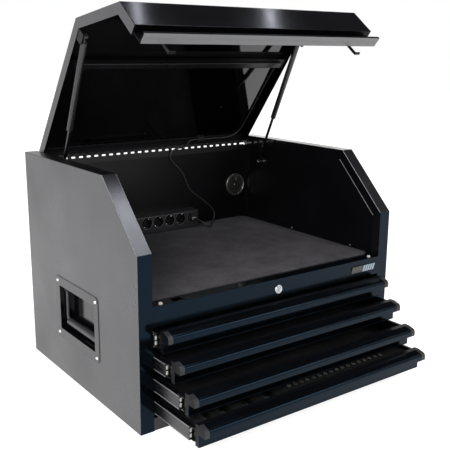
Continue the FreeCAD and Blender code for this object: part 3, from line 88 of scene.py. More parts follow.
def finish(name, colour, roughness, metallic=0.0, specular=0.5, tint=WHITE):
    """A material with one Principled shader whose sockets are set directly."""
    material = bpy.data.materials.new(name)
    material.use_nodes = True
    tree = material.node_tree
    shader = tree.nodes["Principled BSDF"]
    shader.inputs["Base Color"].default_value = (*colour, 1)
    shader.inputs["Roughness"].default_value = roughness
    shader.inputs["Metallic"].default_value = metallic
    shader.inputs["Specular IOR Level"].default_value = specular
    shader.inputs["Specular Tint"].default_value = (*tint, 1)
    return material, tree, shader


def object_coordinates(tree, scale=(1, 1, 1)):
    """Object coordinates, stretched by a Mapping node."""
    source = tree.nodes.new("ShaderNodeTexCoord")
    mapping = tree.nodes.new("ShaderNodeMapping")
    mapping.inputs["Scale"].default_value = scale
    tree.links.new(source.outputs["Object"], mapping.inputs["Vector"])
    return mapping.outputs["Vector"]


def noise(tree, where, scale, detail=3.0, rough=0.5):
    """Smooth random cloud. scale is features to the metre."""
    node = tree.nodes.new("ShaderNodeTexNoise")
    node.inputs["Scale"].default_value = scale
    node.inputs["Detail"].default_value = detail
    node.inputs["Roughness"].default_value = rough
    tree.links.new(where, node.inputs["Vector"])
    return node.outputs["Fac"]


def between(tree, factor, low, high, start=0.3, end=0.7):
    """Spreads a factor that runs from start to end between two values."""
    node = tree.nodes.new("ShaderNodeMapRange")
    node.inputs["From Min"].default_value = start
    node.inputs["From Max"].default_value = end
    node.inputs["To Min"].default_value = low
    node.inputs["To Max"].default_value = high
    tree.links.new(factor, node.inputs["Value"])
    return node.outputs["Result"]


def mixed_colour(tree, factor, dark, light, shader):
    """Two shades of the base colour, mixed by a factor."""
    node = tree.nodes.new("ShaderNodeMix")
    node.data_type = "RGBA"
    # A Mix node keeps a factor and a pair of sockets for every kind of value. 6 and 7 are its
    # two colours, and output 2 is the mixed colour.
    node.inputs[6].default_value = (*dark, 1)
    node.inputs[7].default_value = (*light, 1)
    tree.links.new(factor, node.inputs[0])
    tree.links.new(node.outputs[2], shader.inputs["Base Color"])


def bumped(tree, height, strength, distance, shader, edge=0.0):
    """Fine relief. edge is the radius in metres by which sharp edges look worn round."""
    bump = tree.nodes.new("ShaderNodeBump")
    bump.inputs["Strength"].default_value = strength
    bump.inputs["Distance"].default_value = distance
    tree.links.new(height, bump.inputs["Height"])
    if edge:
        bevel = tree.nodes.new("ShaderNodeBevel")
        bevel.samples = 6
        bevel.inputs["Radius"].default_value = edge
        tree.links.new(bevel.outputs["Normal"], bump.inputs["Normal"])
    tree.links.new(bump.outputs["Normal"], shader.inputs["Normal"])


def varied_roughness(tree, factor, roughness, least, most, shader):
    """Roughness that wanders between two shares of its plain value."""
    wander = between(tree, factor, roughness * least, roughness * most)
    tree.links.new(wander, shader.inputs["Roughness"])


def baked_enamel(name, dark, light, roughness, specular, edge=0.0006, tint=WHITE, peel=0.035):
    """Powder coat baked on to sheet steel: slight orange peel and faint cloudiness."""
    material, tree, shader = finish(name, dark, roughness, specular=specular, tint=tint)
    where = object_coordinates(tree)
    cloud = noise(tree, where, 7.0, detail=4.0)
    mixed_colour(tree, cloud, dark, light, shader)
    varied_roughness(tree, cloud, roughness, 0.8, 1.25, shader)
    bumped(tree, noise(tree, where, 260.0, detail=2.0), peel, 0.0006, shader, edge)
    return material


def moulded_plastic(name, dark, light, roughness, grain=900.0, depth=0.12, specular=0.4):
    """Moulded plastic with a fine spark-eroded grain."""
    material, tree, shader = finish(name, dark, roughness, specular=specular)
    where = object_coordinates(tree)
    mixed_colour(tree, noise(tree, where, 30.0), dark, light, shader)
    bumped(tree, noise(tree, where, grain, detail=2.0), depth, 0.0004, shader, edge=0.0005)
    return material


def plated_steel(name, dark, light, roughness, stretch):
    """Plated steel with drawing lines along the axis where stretch is smallest."""
    material, tree, shader = finish(name, light, roughness, metallic=1.0)
    lines = noise(tree, object_coordinates(tree, stretch), 60.0, detail=4.0, rough=0.6)
    mixed_colour(tree, lines, dark, light, shader)
    varied_roughness(tree, lines, roughness, 0.75, 1.4, shader)
    bumped(tree, lines, 0.08, 0.0003, shader, edge=0.0003)
    return material


def rubber_sheet(name, dark, light, grain, depth, roughness=0.75, clouds=9.0):
    """Foamed rubber sheet with a pebbled surface and cloudy wear."""
    material, tree, shader = finish(name, dark, roughness, specular=0.25)
    where = object_coordinates(tree)
    pebbles = tree.nodes.new("ShaderNodeTexVoronoi")
    pebbles.inputs["Scale"].default_value = grain
    tree.links.new(where, pebbles.inputs["Vector"])
    cloud = noise(tree, where, clouds, detail=8.0, rough=0.75)
    wear = between(tree, cloud, 0.0, 1.0, start=0.35, end=0.65)
    mixed_colour(tree, wear, dark, light, shader)
    bumped(tree, pebbles.outputs["Distance"], depth, 0.0008, shader)
    return material


# How closely the drawing lines lie along each axis: on the slides, on the rods and elsewhere.
ALONG_SLIDE = (9, 0.5, 9)
ALONG_ROD = (30, 30, 4)
EVEN = (20, 20, 20)
PANEL_EDGE = 0.0007

PAINT = {
    # A lighter grey satin copy of the black enamel for the faces turned to the sides: painted light
    # for the sheen they catch.
    "side": baked_enamel(
        "painted_light_side_enamel", (0.043, 0.043, 0.048), (0.046, 0.046, 0.051), 0.32, 0.68,
        edge=PANEL_EDGE, peel=0.006,
    ),
    "outer": baked_enamel(
        "outer_black_enamel", (0.003, 0.003, 0.004), (0.005, 0.005, 0.006), 0.12, 0.5,
        edge=PANEL_EDGE,
    ),
    "slope": baked_enamel(
        "slope_black_enamel", (0.004, 0.004, 0.005), (0.007, 0.007, 0.008), 0.30, 0.8,
        edge=PANEL_EDGE,
    ),
    "cup": baked_enamel(
        "cup_gloss_enamel", (0.002, 0.002, 0.0025), (0.004, 0.004, 0.005), 0.12, 0.5
    ),
    "bail": baked_enamel(
        "handle_satin_enamel", (0.05, 0.05, 0.054), (0.06, 0.06, 0.064), 0.30, 0.6
    ),
    # A darker copy of the black enamel for the inside of the lid: painted shade.
    "inner": baked_enamel(
        "painted_shade_inner_enamel", (0.0006, 0.0006, 0.0008), (0.0012, 0.0012, 0.0015), 0.05, 0.8
    ),
    "wall": baked_enamel(
        "case_inner_enamel", (0.002, 0.002, 0.0026), (0.004, 0.004, 0.005), 0.34, 0.16
    ),
    # A blue-black copy of the black enamel for faces turned to the front. Its blue is painted
    # reflection of a bluish room in front.
    "front": baked_enamel(
        "painted_reflection_blue_black_enamel", (0.0012, 0.0015, 0.0020), (0.0026, 0.0032, 0.0045), 0.13, 0.20,
        edge=0.0010, tint=(0.24, 0.56, 0.95),
    ),
    "trim": baked_enamel(
        "ledge_black_enamel", (0.0015, 0.0015, 0.002), (0.003, 0.003, 0.004), 0.30, 0.10
    ),
    # Pale grey for the underside of the lid's ledge: painted reflection of the white floor below
    # it.
    "ledge": baked_enamel(
        "painted_reflection_ledge_enamel", (0.28, 0.28, 0.285), (0.33, 0.33, 0.335), 0.42, 0.4
    ),
    "wrinkle": moulded_plastic(
        "textured_black_coat", (0.005, 0.005, 0.006), (0.010, 0.010, 0.012), 0.40,
        grain=700.0, depth=0.25, specular=0.25,
    ),
    # Grained plastic as light a grey as the sides: painted light on the plate round the handle.
    "plate": moulded_plastic(
        "painted_light_plate_plastic", (0.038, 0.038, 0.042), (0.048, 0.048, 0.052), 0.34,
        grain=700.0, depth=0.12, specular=0.55,
    ),
    "mat": rubber_sheet(
        "deck_mat_rubber", (0.046, 0.043, 0.047), (0.096, 0.090, 0.097),
        grain=420.0, depth=0.5, clouds=12.0,
    ),
    "liner": rubber_sheet(
        "drawer_liner_rubber", (0.018, 0.017, 0.019), (0.034, 0.032, 0.036),
        grain=300.0, depth=0.45,
    ),
    "foam": rubber_sheet(
        "closed_cell_foam", (0.012, 0.012, 0.013), (0.022, 0.022, 0.024),
        grain=900.0, depth=0.35, roughness=0.9,
    ),
    # Pale grey for the floors of the foam pockets: painted highlight standing for lit tools in
    # them.
    "pocket_floor_highlight": rubber_sheet(
        "painted_highlight_pocket_floor", (0.19, 0.185, 0.175), (0.26, 0.25, 0.24),
        grain=900.0, depth=0.35, roughness=0.9, clouds=40.0,
    ),
    # Pale rims round the bit holes: painted highlights on the edges of the holes.
    "bit_rim_highlight": rubber_sheet(
        "painted_highlight_bit_rims", (0.34, 0.33, 0.31), (0.50, 0.49, 0.46),
        grain=900.0, depth=0.2, roughness=0.8, clouds=40.0,
    ),
    "bumper": moulded_plastic("bumper_rubber", (0.50, 0.49, 0.46), (0.60, 0.59, 0.56), 0.5),
    "zinc": plated_steel(
        "zinc_plate", (0.14, 0.14, 0.135), (0.34, 0.335, 0.32), 0.22, ALONG_SLIDE
    ),
    # A darker copy of the zinc for the broad web of the middle slides: painted dark reflection.
    "web": plated_steel(
        "painted_reflection_web_zinc", (0.035, 0.034, 0.038), (0.12, 0.118, 0.12), 0.30, ALONG_SLIDE
    ),
    "rod": plated_steel(
        "blackened_rod", (0.05, 0.05, 0.055), (0.09, 0.09, 0.095), 0.22, ALONG_ROD
    ),
    "nickel": plated_steel(
        "nickel_plate", (0.30, 0.31, 0.33), (0.50, 0.51, 0.53), 0.16, EVEN
    ),
    "tube": baked_enamel(
        "strut_tube_enamel", (0.010, 0.010, 0.012), (0.018, 0.018, 0.02), 0.24, 0.6, edge=0.0003
    ),
    "plastic": moulded_plastic(
        "black_plastic", (0.012, 0.012, 0.013), (0.022, 0.022, 0.024), 0.38
    ),
    "strip": moulded_plastic(
        "outlet_strip_plastic", (0.014, 0.014, 0.016), (0.024, 0.024, 0.027), 0.34
    ),
    # Paler plastic as painted highlight: on the rims of the outlets and the frame round the switch.
    "rim": moulded_plastic("painted_highlight_rim_plastic", (0.07, 0.07, 0.076), (0.11, 0.11, 0.118), 0.26),
    # Blacker plastic as painted shade: in the wells of the outlets, and round the handle plates as
    # painted shadow.
    "painted_shade_black": moulded_plastic(
        "recess_shade_plastic", (0.003, 0.003, 0.0035), (0.006, 0.006, 0.007), 0.25
    ),
    "vent": plated_steel(
        "grommet_grey", (0.24, 0.24, 0.225), (0.46, 0.455, 0.43), 0.30, (40, 40, 40)
    ),
    "vent_cap": plated_steel(
        "grommet_cap_grey", (0.05, 0.05, 0.045), (0.26, 0.255, 0.235), 0.34, (90, 90, 90)
    ),
    "screw": plated_steel(
        "bright_screw_zinc", (0.74, 0.73, 0.71), (0.94, 0.93, 0.90), 0.42, EVEN
    ),
    "chrome": plated_steel(
        "polished_chrome", (0.62, 0.66, 0.70), (0.82, 0.86, 0.90), 0.06, EVEN
    ),
    "cap": moulded_plastic(
        "grey_end_cap_plastic", (0.020, 0.019, 0.020), (0.040, 0.038, 0.040), 0.36, specular=0.3
    ),
    "gloss": moulded_plastic(
        "glossy_black_plastic", (0.006, 0.006, 0.007), (0.012, 0.012, 0.013), 0.12,
        grain=300.0, depth=0.02, specular=0.6,
    ),
    "clip": moulded_plastic("white_clip_plastic", (0.62, 0.61, 0.58), (0.74, 0.73, 0.70), 0.4),
    "lens": moulded_plastic(
        "unlit_light_cover", (0.008, 0.008, 0.009), (0.016, 0.016, 0.018), 0.25,
        grain=400.0, depth=0.03, specular=0.3,
    ),
    "lead": moulded_plastic(
        "lead_sheath", (0.026, 0.025, 0.025), (0.040, 0.039, 0.038), 0.30,
        grain=1500.0, depth=0.06,
    ),
    "tan": moulded_plastic("sand_grey_print", (0.17, 0.15, 0.13), (0.23, 0.21, 0.19), 0.4),
    "pale_blue": moulded_plastic("pale_blue_print", (0.42, 0.52, 0.60), (0.52, 0.62, 0.70), 0.4),
    # Pale enamel for thin ridges and beads: painted highlights along slide lips and panel folds.
    "ridge": baked_enamel("painted_highlight_enamel", (0.22, 0.22, 0.23), (0.30, 0.30, 0.31), 0.3, 0.6),
}

# The CAD pieces that are one finish all over.
DRESS = {
    "outer": "base_pan",
    "wall": "lid_stiffener inner_walls back_panel work_deck strut_lid_brackets lock_bar lid_hooks",
    "front": "front_rail name_plate",
    "wrinkle": "hinge_leaf_case hinge_leaf_lid",
    "bail": "left_bail right_bail",
    "vent": "grommet_ring",
    "vent_cap": "grommet_cap",
    "mat": "deck_mat",
    "bumper": "rail_bumpers",
    "zinc": "slide_outer_members",
    "rod": "strut_rod_left strut_rod_right hinge_pin",
    "nickel": "lock_body lock_barrel",
    "tube": "strut_tube_left strut_tube_right",
    "plastic": "usb_plug lead_connector",
    "gloss": "power_switch",
    "lens": "led_strip",
    "lead": "lead_lower lead_upper",
}
for index in DRAWERS:
    DRESS["front"] += f" drawer_{index}_pull"
    DRESS["zinc"] += f" drawer_{index}_slides"

for paint, names in DRESS.items():
    for node in names.split():
        mesh = nodes[node].data
        mesh.materials.clear()
        mesh.materials.append(PAINT[paint])


def paint_faces(node, choose):
    """Paints the faces of a piece one by one.

    choose gets a face's centre in metres and its outward direction, and names the paint.
    """
    made = nodes[node]
    mesh = made.data
    turn = made.matrix_world.to_3x3()
    order = []
    picks = []
    for face in mesh.polygons:
        paint = choose(made.matrix_world @ face.center, (turn @ face.normal).normalized())
        if paint not in order:
            order.append(paint)
        picks.append(order.index(paint))
    mesh.materials.clear()
    for paint in order:
        mesh.materials.append(PAINT[paint])
    mesh.polygons.foreach_set("material_index", picks)


# A face looks along an axis when SQUARE_ON of its direction lies on that axis. The others say
# where one paint ends and the next starts on a rounded fold.
SQUARE_ON = 0.8
FRONT_FOLD = 0.85
SLOPE_FOLD = 0.5
LID_FOLD = 0.3


def side_panel_paint(centre, way):
    """Satin on the broad side, a lighter copy of the black enamel as painted light; blue-black on
    the front edge, its blue painted reflection; black on the slope and the top.
    """
    if abs(way.x) > SQUARE_ON:
        return "side" if way.x * centre.x > 0 else "outer"
    if way.y < -FRONT_FOLD:
        return "front"
    return "slope" if way.z > SLOPE_FOLD else "outer"


def lid_paint(centre, way):
    """Gloss black outside; the lighter satin copy on the turned-down sides as painted light; a
    darker copy of the black inside as painted shade.
    """
    closed = LID_TURN.inverted() @ way
    if abs(closed.x) > SQUARE_ON:
        return "side" if closed.x * centre.x > 0 else "inner"
    outward = closed.z > LID_FOLD or closed.y < -LID_FOLD
    return "outer" if outward else "inner"


def ledge_paint(centre, way):
    """Only the underside of the lid's front ledge is pale, as painted reflection of the white floor
    below it.
    """
    low = (LID_OPEN.inverted() @ centre).z < LEDGE_UNDERSIDE * MM
    underneath = (LID_TURN.inverted() @ way).z < -SQUARE_ON
    return "ledge" if low and underneath else "trim"


def handle_plate_paint(centre, way):
    """The plate round the recess is grained and as light a grey as the sides, which is painted
    light, and the recess itself is gloss.
    """
    on_plate = abs(centre.x) > (SIDE_FACE + 1.5) * MM and abs(way.x) > SQUARE_ON
    return "plate" if on_plate else "cup"


def strip_paint(centre, way):
    """The round wells of the outlets are blacker than the strip, as painted shade in the recesses.
    """
    in_depth = WELL_FRONT * MM < centre.y < WELL_BACK * MM
    in_row = centre.x < LAST_WELL_END * MM and abs(centre.z - OUTLET_Z * MM) < WELL_RADIUS * MM
    return "painted_shade_black" if in_depth and in_row else "strip"


def tray_paint(centre, way):
    """The drawer's front is blue-black, its blue painted reflection, and the rest of the tray is
    plain black.
    """
    return "front" if way.y < -SQUARE_ON else "wall"


def cap_paint(centre, way):
    """The rounded end is grey, and the flat shank behind it is black as painted shade."""
    return "trim" if abs(way.x) > SQUARE_ON else "cap"


def slide_paint(centre, way):
    """A darker, duller copy of the zinc on the broad web as painted dark reflection, and bright
    zinc on the lips.
    """
    return "web" if abs(way.x) > SQUARE_ON else "zinc"


def fastener_paint(centre, way):
    """The screws of the handle plates are bright, and the rest are dull."""
    return "screw" if abs(centre.x) > SIDE_FACE * MM else "zinc"


def foam_paint(centre, way):
    """The floors of the pockets are painted pale grey, a painted highlight that stands for lit
    tools in them.
    """
    on_floor = way.z > SQUARE_ON and centre.z < (FOAM_TOP - 1) * MM
    return "pocket_floor_highlight" if on_floor else "foam"


for name in ("left_side_panel", "right_side_panel"):
    paint_faces(name, side_panel_paint)
paint_faces("lid_shell", lid_paint)
paint_faces("lid_pull_ledge", ledge_paint)
paint_faces("handle_cups", handle_plate_paint)
paint_faces("drawer_4_foam", foam_paint)
paint_faces("power_strip", strip_paint)
paint_faces("case_fasteners", fastener_paint)
for index in DRAWERS:
    paint_faces(f"drawer_{index}_tray", tray_paint)
    paint_faces(f"drawer_{index}_pull_caps", cap_paint)
    paint_faces(f"slide_{index}_middle", slide_paint)


# ---- making pieces ----

def piece(name, bm, material, body):
    """A finished mesh piece that rides on a body."""
    mesh = bpy.data.meshes.new(name)
    bmesh.ops.recalc_face_normals(bm, faces=bm.faces)
    bm.to_mesh(mesh)
    bm.free()
    mesh.materials.append(PAINT[material])
    made = bpy.data.objects.new(name, mesh)
    bpy.context.scene.collection.objects.link(made)
    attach(made, body)
    return made


def shade_smooth(mesh):
    mesh.polygons.foreach_set("use_smooth", [True] * len(mesh.polygons))


def place_at(bm, verts, at, turn=None):
    """Turns vertices about the origin and moves them to a point."""
    if turn:
        bmesh.ops.rotate(bm, verts=verts, cent=(0, 0, 0), matrix=turn)
    bmesh.ops.translate(bm, vec=Vector(at) * MM, verts=verts)


def edges_between(bm, verts):
    """The edges that have both ends among these vertices."""
    return [edge for edge in bm.edges if all(vert in verts for vert in edge.verts)]


def block(bm, low, high):
    """A block between two corners. Returns its vertices."""
    low, high = Vector(low) * MM, Vector(high) * MM
    made = bmesh.ops.create_cube(bm, size=1.0)["verts"]
    bmesh.ops.scale(bm, vec=high - low, verts=made)
    bmesh.ops.translate(bm, vec=(low + high) / 2, verts=made)
    return made


def on_both_sides(bm, inner, outer, spans):
    """The same blocks on the left and on the right, from x = inner to x = outer.

    A span is the lowest and the highest corner of one block, each as (y, z).
    """
    for side in LEFT_AND_RIGHT:
        x_low, x_high = sorted((side * inner, side * outer))
        for low, high in spans:
            block(bm, (x_low, *low), (x_high, *high))


def soften(bm, width, segments=2, edges=None):
    """Rounds edges, or all edges where none are given."""
    bmesh.ops.bevel(
        bm, geom=edges or bm.edges[:], offset=width * MM, segments=segments, profile=0.5,
        affect="EDGES", material=-1, clamp_overlap=True,
    )


def ring(bm, radius, thickness, segments, steps):
    """A round ring about the Z axis. thickness is the radius of its wire. Returns its vertices."""
    known = set(bm.verts)
    section = bmesh.ops.create_circle(
        bm, cap_ends=False, segments=segments, radius=thickness * MM
    )["verts"]
    place_at(bm, section, (radius, 0, 0), UPRIGHT)
    bmesh.ops.spin(
        bm, geom=section + edges_between(bm, section), cent=(0, 0, 0), axis=(0, 0, 1),
        angle=math.tau, steps=steps, use_merge=True,
    )
    return [vert for vert in bm.verts if vert not in known]


def bead(bm, low, high, radius):
    """A round bead between two points."""
    run = high - low
    turn = run.to_track_quat("Z", "Y").to_matrix().to_4x4()
    bmesh.ops.create_cone(
        bm, cap_ends=True, segments=10, radius1=radius * MM, radius2=radius * MM,
        depth=run.length * MM, matrix=Matrix.Translation((low + high) / 2 * MM) @ turn,
    )


# ---- leads of the lid light ----

LEAD_RADIUS = 2 * MM

# From the plug in the outlet strip, round under it and up the back panel to the hinge.
LOWER_ROUTE = [
    (118, 220.8, 318), (118, 205, 318), (124, 191, 309), (138, 191, 299), (156, 207, 295),
    (178, 238, 292.6), (200, 263, 292.8), (216, 277, 296), (225, 284.5, 309), (219, 285, 326),
    (206, 285, 340), (188, 285, 353), (168, 285, 370), (147, 285, 384), (131, 285, 398),
    (121, 285, 416), (114, 285, 436), (103, 285, 455), (88, 285, 471), (72, 285, 485),
    (60, 284.4, 501), (62, 282, 518), (76, 278.4, 528.6), (92, 277.8, 529.1),
]
# Across the hinge to the connector, and on along the lid's right edge. Both as on a closed lid.
CROSSING_ROUTE = [
    (107, 282.6, 525), (120, 278.6, 531), (129, 275.4, 543), (146, 276, 548.6), (166, 276, 548.6),
]
EDGE_ROUTE = [
    (190, 276, 548.6), (228, 276, 548.6), (270, 277.5, 548.6), (300, 270, 548.7), (316, 246, 549),
    (319, 200, 549.3), (320, 140, 549.3), (320, 84, 549.3), (320, 32, 548), (320, -7.8, 545),
]


def on_open_lid(points):
    """Points of the closed lid, moved to the open lid."""
    return [tuple((LID_OPEN @ (Vector(p) * MM)) / MM) for p in points]


def lead_curve(name, route, radius):
    """A smooth curve along a route. radius is in metres."""
    data = bpy.data.curves.new(name, "CURVE")
    data.dimensions = "3D"
    data.resolution_u = 12
    data.bevel_depth = radius
    data.bevel_resolution = 4
    data.use_fill_caps = True
    spline = data.splines.new("NURBS")
    spline.points.add(len(route) - 1)
    for point, place in zip(spline.points, route):
        point.co = (*[value * MM for value in place], 1)
    spline.order_u = 3
    spline.use_endpoint_u = True
    made = bpy.data.objects.new(name, data)
    bpy.context.scene.collection.objects.link(made)
    return made


def curve_points(curve):
    """Points along a curve that has no bevel, in metres."""
    evaluated = curve.evaluated_get(bpy.context.evaluated_depsgraph_get())
    line = bpy.data.meshes.new_from_object(evaluated)
    return [vertex.co.copy() for vertex in line.vertices]


def lead_tube(name, route, radius):
    """A mesh tube along the smooth line of a route. Returns the tube and its line."""
    guide = lead_curve(f"{name}_guide", route, 0.0)
    bpy.context.view_layer.update()
    line = curve_points(guide)
    bpy.data.objects.remove(guide)
    bm = bmesh.new()
    last_ring = None
    side = Vector((0, 1, 0))
    for index, centre in enumerate(line):
        ahead = line[min(index + 1, len(line) - 1)] - line[max(index - 1, 0)]
        ahead.normalize()
        side = (side - ahead * side.dot(ahead)).normalized()
        turn = Matrix((side, ahead.cross(side), ahead)).transposed().to_4x4()
        next_ring = bmesh.ops.create_circle(
            bm, cap_ends=False, segments=12, radius=radius,
            matrix=Matrix.Translation(centre) @ turn,
        )["verts"]
        if last_ring:
            bmesh.ops.bridge_loops(bm, edges=edges_between(bm, last_ring + next_ring))
        last_ring = next_ring
    bmesh.ops.holes_fill(bm, edges=[e for e in bm.edges if e.is_boundary], sides=0)
    bmesh.ops.recalc_face_normals(bm, faces=bm.faces)
    mesh = bpy.data.meshes.new(name)
    bm.to_mesh(mesh)
    bm.free()
    shade_smooth(mesh)
    mesh.materials.append(PAINT["lead"])
    made = bpy.data.objects.new(name, mesh)
    bpy.context.scene.collection.objects.link(made)
    return made, line


light_lead, light_line = lead_tube(
    "light_lead", LOWER_ROUTE + on_open_lid(CROSSING_ROUTE), LEAD_RADIUS
)
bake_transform(light_lead)
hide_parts("lead_lower")

edge_route = on_open_lid(EDGE_ROUTE)
edge_lead = lead_curve("edge_lead", edge_route, LEAD_RADIUS)
edge_lead.data.materials.append(PAINT["lead"])
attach(edge_lead, "lid")
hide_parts("lead_upper")


# ---- drawer liners, and the blocks, clips and painted highlight ridges on the slides ----

# Widths are counted out from the middle of the chest, and depths back from the face of a
# drawer. The liner and the middle line of the slide are counted up from the bottom of the tray,
# and the pieces on the slide from that line.
LINER_HALF_WIDTH = 331.5
LINER_FRONT, LINER_BACK = 14, 518
LINER_BOTTOM, LINER_TOP = 5.3, 7.3
SLIDE_MIDDLE = 24.5
STOP_X = (337.2, 342.9)
STOP_FRONT, STOP_BACK = 24.2, 33
STOP_HALF_HEIGHT = 13.5
CLIP_X = (338, 342.4)
CLIP_FRONT, CLIP_BACK = 22.6, 24.6
CLIP_FOOT, CLIP_HEAD = 2, 10
RIDGE_X = (344.4, 344.65)
RIDGE_FRONT, RIDGE_BACK = 24.5, 499
LOWER_RIDGE, UPPER_RIDGE = -14.6, 12.8
RIDGE_HEIGHT = 1.8

for index in DRAWERS:
    face = CASE_FRONT - OPENED[index]
    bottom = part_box(f"drawer_{index}_tray")[0][2] / MM
    middle = bottom + SLIDE_MIDDLE

    if index != FOAM_DRAWER:
        bm = bmesh.new()
        block(
            bm, (-LINER_HALF_WIDTH, face + LINER_FRONT, bottom + LINER_BOTTOM),
            (LINER_HALF_WIDTH, face + LINER_BACK, bottom + LINER_TOP),
        )
        soften(bm, 0.5, 1)
        liner = piece(f"drawer_{index}_liner", bm, "liner", f"drawer_{index}")

    bm = bmesh.new()
    on_both_sides(bm, *STOP_X, [(
        (face + STOP_FRONT, middle - STOP_HALF_HEIGHT),
        (face + STOP_BACK, middle + STOP_HALF_HEIGHT),
    )])
    soften(bm, 0.8)
    stop_blocks = piece(f"slide_{index}_stop_blocks", bm, "plastic", f"slide_{index}")

    bm = bmesh.new()
    on_both_sides(bm, *CLIP_X, [
        ((face + CLIP_FRONT, middle - CLIP_HEAD), (face + CLIP_BACK, middle - CLIP_FOOT)),
        ((face + CLIP_FRONT, middle + CLIP_FOOT), (face + CLIP_BACK, middle + CLIP_HEAD)),
    ])
    soften(bm, 0.5)
    clips = piece(f"slide_{index}_clips", bm, "clip", f"slide_{index}")

    # Pale ridges along the lips of the slide: painted highlights.
    bm = bmesh.new()
    on_both_sides(bm, *RIDGE_X, [
        ((face + RIDGE_FRONT, foot), (face + RIDGE_BACK, foot + RIDGE_HEIGHT))
        for foot in (middle + LOWER_RIDGE, middle + UPPER_RIDGE)
    ])
    ridge_highlights = piece(f"slide_{index}_ridges", bm, "ridge", f"slide_{index}")


# ---- painted highlight beads on the folds, and painted shadow frames round the handles ----

# Each bead runs up a slope, some way in from the panel's outline. tan(22.5 degrees) of that way
# keeps its ends on the lines that halve the corners.
CORNER_SHARE = 0.41
INNER_FOLD, OUTER_FOLD = 346.1, 380.1
COLUMN_FOOT = 3
SLOPE_BEAD, COLUMN_BEAD = 0.9, 0.7

# The beads are pale: painted highlights along the folds of the side panels.
for name, across, inset in (
    ("fold_edge_highlights", INNER_FOLD, 0.8),
    ("lip_edge_highlights", INNER_FOLD, RETURN),
    ("outer_edge_highlights", OUTER_FOLD, 0.9),
):
    bm = bmesh.new()
    for side in LEFT_AND_RIGHT:
        low = Vector((side * across, CASE_FRONT + inset, COLUMN_TOP - inset * CORNER_SHARE))
        high = Vector((side * across, SLOPE_BACK + inset * CORNER_SHARE, CASE_TOP - inset))
        bead(bm, low, high, SLOPE_BEAD)
        if across == OUTER_FOLD:
            bead(bm, Vector((low.x, low.y, COLUMN_FOOT)), low, COLUMN_BEAD)
    bead_highlights = piece(name, bm, "ridge", "case")

# A flat black band with round corners, round the plate of a handle: painted shadow for the dark gap
# round the plate.
SHADOW_FRAME_X = (380.8, 381.8)
SHADOW_FRAME_MARGIN = 1.8
SHADOW_FRAME_WIDTH = 3
SHADOW_FRAME_CORNER = 13.8

bm = bmesh.new()
low, high = [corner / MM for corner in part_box("handle_cups")]
for side in LEFT_AND_RIGHT:
    x_low, x_high = sorted(side * x for x in SHADOW_FRAME_X)
    made = block(
        bm, (x_low, low.y - SHADOW_FRAME_MARGIN, low.z - SHADOW_FRAME_MARGIN),
        (x_high, high.y + SHADOW_FRAME_MARGIN, high.z + SHADOW_FRAME_MARGIN),
    )
    corners = [
        edge for edge in edges_between(bm, made)
        if abs((edge.verts[0].co - edge.verts[1].co).x) > 0.5 * MM
    ]
    soften(bm, SHADOW_FRAME_CORNER, segments=6, edges=corners)
    bm.normal_update()
    broad = [
        face for face in bm.faces
        if abs(face.normal.x) > SQUARE_ON and face.calc_center_median().x * side > 0
    ]
    bmesh.ops.inset_region(bm, faces=broad, thickness=SHADOW_FRAME_WIDTH * MM, use_even_offset=True)
    bmesh.ops.delete(bm, geom=broad, context="FACES_ONLY")
    bmesh.ops.bridge_loops(bm, edges=[e for e in bm.edges if e.is_boundary])
shadow_frames = piece("handle_shadow_frames", bm, "painted_shade_black", "case")


# ---- pale rims of the bit holes in the foam, as painted highlights on their edges ----

BIT_HOLES = 17
BIT_PITCH = 19
FIRST_BIT_X = -50
BIT_ROW = 38
BIT_RIM_RADIUS, BIT_RIM_THICKNESS = 4.1, 0.7

foam_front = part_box("drawer_4_foam")[0][1] / MM
bm = bmesh.new()
for index in range(BIT_HOLES):
    rim = ring(bm, BIT_RIM_RADIUS, BIT_RIM_THICKNESS, segments=8, steps=20)
    place_at(bm, rim, (FIRST_BIT_X + BIT_PITCH * index, foam_front + BIT_ROW, FOAM_TOP))
bit_hole_highlights = piece("bit_hole_highlight_rims", bm, "bit_rim_highlight", "drawer_4")


# ---- outlet rims and switch frame as painted highlights, earth clips, and a painted glint at the plug ----

RIM_OUTER, RIM_INNER, RIM_HEIGHT = 18.2, 17.0, 1.2

bm = bmesh.new()
for x in OUTLET_X:
    loops = []
    for radius in (RIM_OUTER, RIM_INNER):
        loops += bmesh.ops.create_circle(
            bm, cap_ends=False, segments=48, radius=radius * MM
        )["verts"]
    flat = bmesh.ops.bridge_loops(bm, edges=edges_between(bm, loops))["faces"]
    raised = bmesh.ops.extrude_face_region(bm, geom=flat)["geom"]
    lifted = [item for item in raised if isinstance(item, bmesh.types.BMVert)]
    bmesh.ops.translate(bm, vec=(0, 0, RIM_HEIGHT * MM), verts=lifted)
    place_at(bm, loops + lifted, (x, STRIP_FACE, OUTLET_Z), UPRIGHT)
rim_highlights = piece("outlet_rim_highlights", bm, "rim", "case")

# An earth clip is a tab that reaches back into the well, with a short lip at its front that
# points to the middle of the well.
CLIP_TURN = math.radians(35)
CLIP_HALF_WIDTH = 2.4
LIP_INNER, TAB_INNER, CLIP_OUTER = 12.2, 14.4, 15.6
TAB_DEPTH, LIP_DEPTH = 10, 1.0
CLIP_SINK = 0.8

